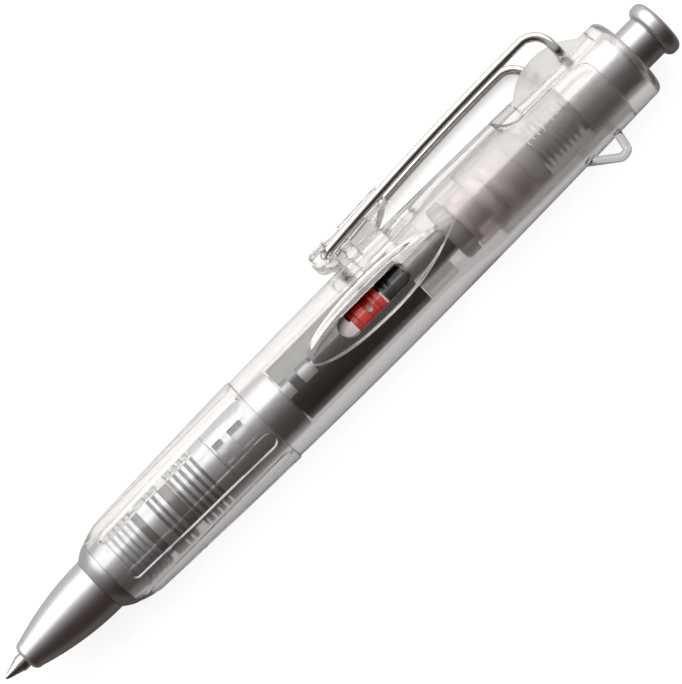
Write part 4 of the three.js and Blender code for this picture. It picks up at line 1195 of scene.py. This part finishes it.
rod_outline = [
    (rod_front, PUMP_BORE),
    (rod_front, PUMP_RADIUS),
    *grooves([rod_front + 0.4, rod_front + 1.2], 0.4, PUMP_RADIUS, 3.0),
    (rod_front + 4.1, PUMP_RADIUS),
    (rod_front + 4.1, ROD_RADIUS),
    (head, ROD_RADIUS),
    (head, PUMP_RADIUS),
    *grooves([ring_seat], 1.2, PUMP_RADIUS, ROD_RADIUS),
    (rod_rear, PUMP_RADIUS),
    (rod_rear, PUMP_BORE),
]
rod = lathe("black_rod", eased(rod_outline, 0.07, 3), 112)
finished(rod, "refill", rod_resin, ["piston_rod"])
second_finish(rod, pale_resin, face_middles(rod)[:, 0] > pale_start)
ring_outline = np.array([ring_seat + 0.6, 3.075]) + circle(0, 0, 1) * [0.3, 0.575]
finished(lathe("rod_seal", ring_outline, 96), "refill", soft_black, ["piston_ring"])

# %% [markdown]
# ## Air cylinder, collar and end cap
#
# The button pushes a small cylinder over the rod's head and squeezes the air in it. The cylinder is
# a tinted tube between a smoke-grey collar and cap. All three fill the tail's bore with the same
# radius, so only their colours tell them apart, as soft dark and pale blocks through the barrel.

# %% Air cylinder, collar and end cap
WORKS_RADIUS = 4.4
COLLAR_BORE, COLLAR_PLUG = 2.7, 3.55
CAP_PLUG, THRUST_ROD = 3.45, 2.5

cylinder_front, cylinder_rear = span("air_cylinder")
cylinder = lathe("air_tube", eased(tube(cylinder_front, cylinder_rear, 3.75, WORKS_RADIUS), 0.1))
finished(cylinder, "button", pink_styrene, ["air_cylinder"])

collar_front, collar_rear = span("cylinder_collar")
collar_outline = [
    (collar_front, COLLAR_BORE),
    (collar_front, 4.0),
    (collar_front + 0.4, WORKS_RADIUS),
    (collar_front + 2.4, WORKS_RADIUS),
    (collar_front + 2.4, COLLAR_PLUG),
    (collar_rear, COLLAR_PLUG),
    (collar_rear, COLLAR_BORE),
]
collar = lathe("dark_collar", eased(collar_outline, 0.1))
finished(collar, "button", smoke_resin, ["cylinder_collar"])

end_front, end_rear = span("cylinder_end_cap")
end_outline = [
    (end_front, 0),
    (end_front, CAP_PLUG),
    (end_front + 2.6, CAP_PLUG),
    (end_front + 2.6, WORKS_RADIUS),
    (end_front + 5.1, WORKS_RADIUS),
    (end_front + 5.1, THRUST_ROD),
    (end_rear, THRUST_ROD),
    (end_rear, 0),
]
end_cap = lathe("dark_end_cap", eased(end_outline, 0.12))
finished(end_cap, "button", smoke_resin, ["cylinder_end_cap"])

# %% [markdown]
# ## Springs
#
# A coil spring is one wire carried along a helix. The rear coil rides with the button. The return
# coil sits between a seat in the barrel and the step of the ink tube, so it has to grow shorter as
# the refill comes forward. Here it rides no body, and its place is baked into its points.


# %% Springs
def coil(name, node_name, radius, wire, turns, body, finish):
    """An unbroken helix: x grows evenly while the angle goes round, so r stays the coil's radius."""
    start, end = span(node_name)
    share = np.linspace(0, 1, int(turns * 40) + 1)
    angle = share * turns * 2 * math.pi
    x = start + wire + (end - start - 2 * wire) * share
    path = np.column_stack([x, radius * np.cos(angle), radius * np.sin(angle)])
    return finished(carried(name, path, wire, 12), body, finish, [node_name])


COIL_WIRE = 0.25
return_coil = coil("return_coil", "return_spring", 3.0, COIL_WIRE, 13, None, drawn_steel)
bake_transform(return_coil)
coil("rear_coil", "rear_spring", 3.2, COIL_WIRE, 7, "button", drawn_steel)

# %% [markdown]
# ## Cam sleeve, rotor and plunger
#
# The push mechanism sits in a silver sleeve with four ribs inside, whose front ends slope to both
# sides for the rotor's teeth. A rib is two rings of points joined by walls, the front ring pulled
# back towards its sides. The rotor and the plunger are hidden, so they keep their CAD meshes and
# only get their materials.

# %% Cam sleeve
cam_front, cam_rear = span("cam_sleeve")
CAM_WALL = 4.1
RIB_TOP, RIB_ROOT = 3.7, 4.2
RIB_SIDE = math.radians(25)

cam = lathe("silver_cam_sleeve", eased(tube(cam_front, cam_rear, CAM_WALL, WORKS_RADIUS), 0.08), 144)
from_middle = np.linspace(-RIB_SIDE, RIB_SIDE, 13)
from_middle = np.concatenate([from_middle, from_middle[::-1]])
rib_radius = np.repeat([RIB_ROOT, RIB_TOP], 13)
for quarter in range(4):
    turn = math.radians(45 + 90 * quarter) + from_middle
    ring = np.column_stack([rib_radius * np.cos(turn), rib_radius * np.sin(turn)])
    slope = 0.9 * np.abs(from_middle) / RIB_SIDE
    front_points = np.column_stack([cam_rear - 5.6 + slope, ring])
    rear_points = np.column_stack([np.full(len(ring), cam_rear - 0.05), ring])
    combine(cam, walls_between("rib", front_points, rear_points), "UNION")
finished(cam, "barrel", satin_silver, ["cam_sleeve"])

# %% Dress the rotor and the plunger
for name, finish in (("cam_rotor", grey_resin), ("plunger", natural_acetal)):
    kept = frame["nodes"][name].data
    kept.materials.clear()
    kept.materials.append(finish)
    print(name, "keeps its mesh, in", finish.name)

# %% [markdown]
# ## Push button
#
# The button is a satin stem with a mushroom flange: a full round edge and a flat end. Where the
# flange meets the stem the real one has a fine dark line, so a hair-thin groove is turned there.

# %% Push button
stem_front, button_rear = span("push_button")
flange_front = button_rear - 2.4
STEM_BORE, STEM_RADIUS = 2.5, 3.3
FLANGE_FLAT, FLANGE_ROUND = 3.2, 1.05

stem_end = [
    (stem_front + 2, STEM_BORE),
    (stem_front, STEM_BORE),
    (stem_front, STEM_RADIUS),
    (stem_front + 2, STEM_RADIUS),
]
button_outline = np.concatenate(
    [
        eased(stem_end, 0.1, closed=False)[1:-1],
        [(flange_front - 0.12, STEM_RADIUS), (flange_front - 0.03, STEM_RADIUS - 0.06)],
        arc(flange_front + FLANGE_ROUND, FLANGE_FLAT, FLANGE_ROUND, 180, 90, 10)[1:],
        arc(button_rear - FLANGE_ROUND, FLANGE_FLAT, FLANGE_ROUND, 90, 0, 10),
        [(button_rear, 0), (stem_front + 5.9, 0), (stem_front + 5.9, STEM_BORE)],
    ]
)
button = lathe("button_shell", button_outline)
finished(button, "button", satin_silver, ["push_button"])

# %% [markdown]
# ## Wire clip
#
# One length of polished wire makes the clip: a pin in the fin, an elbow, a leg with a slight arch,
# the crossing inside the pad, the other leg, and a second pin. A curve object with a round bevel
# would do as well. Here the section is carried along a path of points, because the same path, a
# little thicker, cuts the wire's channel in the pad.

# %% Clip wire
WIRE_RADIUS, CHANNEL_RADIUS = 0.685, 0.78
LEG_SIDE = 3.8
NEAR_TOP, FAR_TOP = 11.1, 11.4
CROSSING, CROSSING_HEIGHT = 71.5, 9.5
LEG_BEND, ELBOW_BEND, FRONT_BEND = 2.9, 1.0, 1.4


def leg(pin, height, z):
    """A leg from its rear bend forward, sagging by the square of the distance from that bend."""
    bend_end = pin - 3.4
    x = np.linspace(bend_end, CROSSING + 1.6, 30)
    sag = ((bend_end - x) / (bend_end - CROSSING)) ** 2
    return np.column_stack([x, height - (height - CROSSING_HEIGHT) * sag, np.full(30, z)])


near = leg(near_pin, NEAR_TOP, LEG_SIDE)
far = leg(far_pin, FAR_TOP, -LEG_SIDE)[::-1]
near_corners = [
    (near_pin, NEAR_HEIGHT, 0.25),
    (near_pin, NEAR_HEIGHT, LEG_SIDE),
    (near_pin, NEAR_TOP, LEG_SIDE),
    near[0],
]
front_corners = [
    near[-1],
    (CROSSING, CROSSING_HEIGHT, LEG_SIDE),
    (CROSSING, CROSSING_HEIGHT, -LEG_SIDE),
    far[0],
]
far_corners = [
    far[-1],
    (far_pin, FAR_TOP, -LEG_SIDE),
    (far_pin, FAR_HEIGHT, -LEG_SIDE),
    (far_pin, FAR_HEIGHT, -0.25),
]
wire_path = np.concatenate(
    [
        rounded_path(near_corners, [ELBOW_BEND, LEG_BEND]),
        near[1:-1],
        rounded_path(front_corners, [FRONT_BEND, FRONT_BEND]),
        far[1:-1],
        rounded_path(far_corners, [LEG_BEND, ELBOW_BEND]),
    ]
)
wire = carried("steel_clip", wire_path, WIRE_RADIUS, 32)
finished(wire, "clip", polished_steel, ["clip_wire"], sharp=40)

# %% [markdown]
# ## Clip pad
#
# The clear pad is moulded round the wire's front crossing. It is joined from a side profile and a
# rounded bulb, opened in its web, and cut by the wire's own channel. A Bevel modifier would fail on
# the many small faces that the cuts leave. So the pad is remeshed finely and smoothed, which gives
# every edge the soft radius of a small moulding.

# %% Clip pad
pad_front = span("clip_pad")[0]
PAD_FLOOR, PAD_HALF = 7.53, 2.8
NOSE_ROUND = 1.3
BULB_HALF, BULB_ROUND = 4.3, 1.9
VOXEL = 0.11

pad_profile = np.concatenate(
    [
        [(pad_front + 0.6, 8.83)],
        arc(pad_front + NOSE_ROUND, 10.0, NOSE_ROUND, 180, 95, 8),
        [(pad_front + 6.3, 11.35), (pad_front + 6.3, 11.65)],
        arc(pad_front + 13.3, 11.47, 0.5, 85, 0, 5),
        [(pad_front + 13.7, 9.5), (pad_front + 10.2, 7.73), (pad_front + 9.5, PAD_FLOOR)],
        [(pad_front + 6.1, PAD_FLOOR), (pad_front + 6.1, 8.7), (pad_front + 4.7, 8.7)],
        [(pad_front + 4.4, PAD_FLOOR), (pad_front + 2.2, PAD_FLOOR)],
    ]
)
pad = prism("pad_shell", pad_profile, -PAD_HALF, PAD_HALF)
bulb_plan = np.concatenate(
    [
        arc(pad_front + BULB_ROUND, -BULB_HALF + BULB_ROUND, BULB_ROUND, 180, 270, 10),
        arc(pad_front + 2.9, -BULB_HALF + 0.3, 0.3, -90, 0, 4),
        arc(pad_front + 2.9, BULB_HALF - 0.3, 0.3, 0, 90, 4),
        arc(pad_front + BULB_ROUND, BULB_HALF - BULB_ROUND, BULB_ROUND, 90, 180, 10),
    ]
)
bulb = prism("bulb", bulb_plan, PAD_FLOOR, 11.3, "xz")
nose = arc(pad_front + NOSE_ROUND, 9.75, NOSE_ROUND, 270, 90, 16)
nose = np.concatenate([nose, [(pad_front + 4.2, 11.05), (pad_front + 4.2, 8.45)]])
combine(bulb, prism("cutter", nose, -THROUGH, THROUGH), "INTERSECT")
combine(pad, bulb, "UNION")
web = [(pad_front + 9.9, 8.35), (pad_front + 11.0, 8.35), (pad_front + 12.9, 9.45), (pad_front + 9.9, 9.45)]
combine(pad, prism("cutter", eased(web, 0.15), -THROUGH, THROUGH))
combine(pad, carried("cutter", wire_path, CHANNEL_RADIUS, 24))

# %% Soften the pad
remesh = pad.modifiers.new("fine", "REMESH")
remesh.mode = "VOXEL"
remesh.voxel_size = VOXEL
smooth = pad.modifiers.new("soft", "SMOOTH")
smooth.factor = 0.5
smooth.iterations = 3
graph = bpy.context.evaluated_depsgraph_get()
pad_mesh = bpy.data.meshes.new_from_object(pad.evaluated_get(graph))
pad.modifiers.clear()
pad.data = pad_mesh
finished(pad, "clip", clear_styrene, ["clip_pad"], sharp=60)
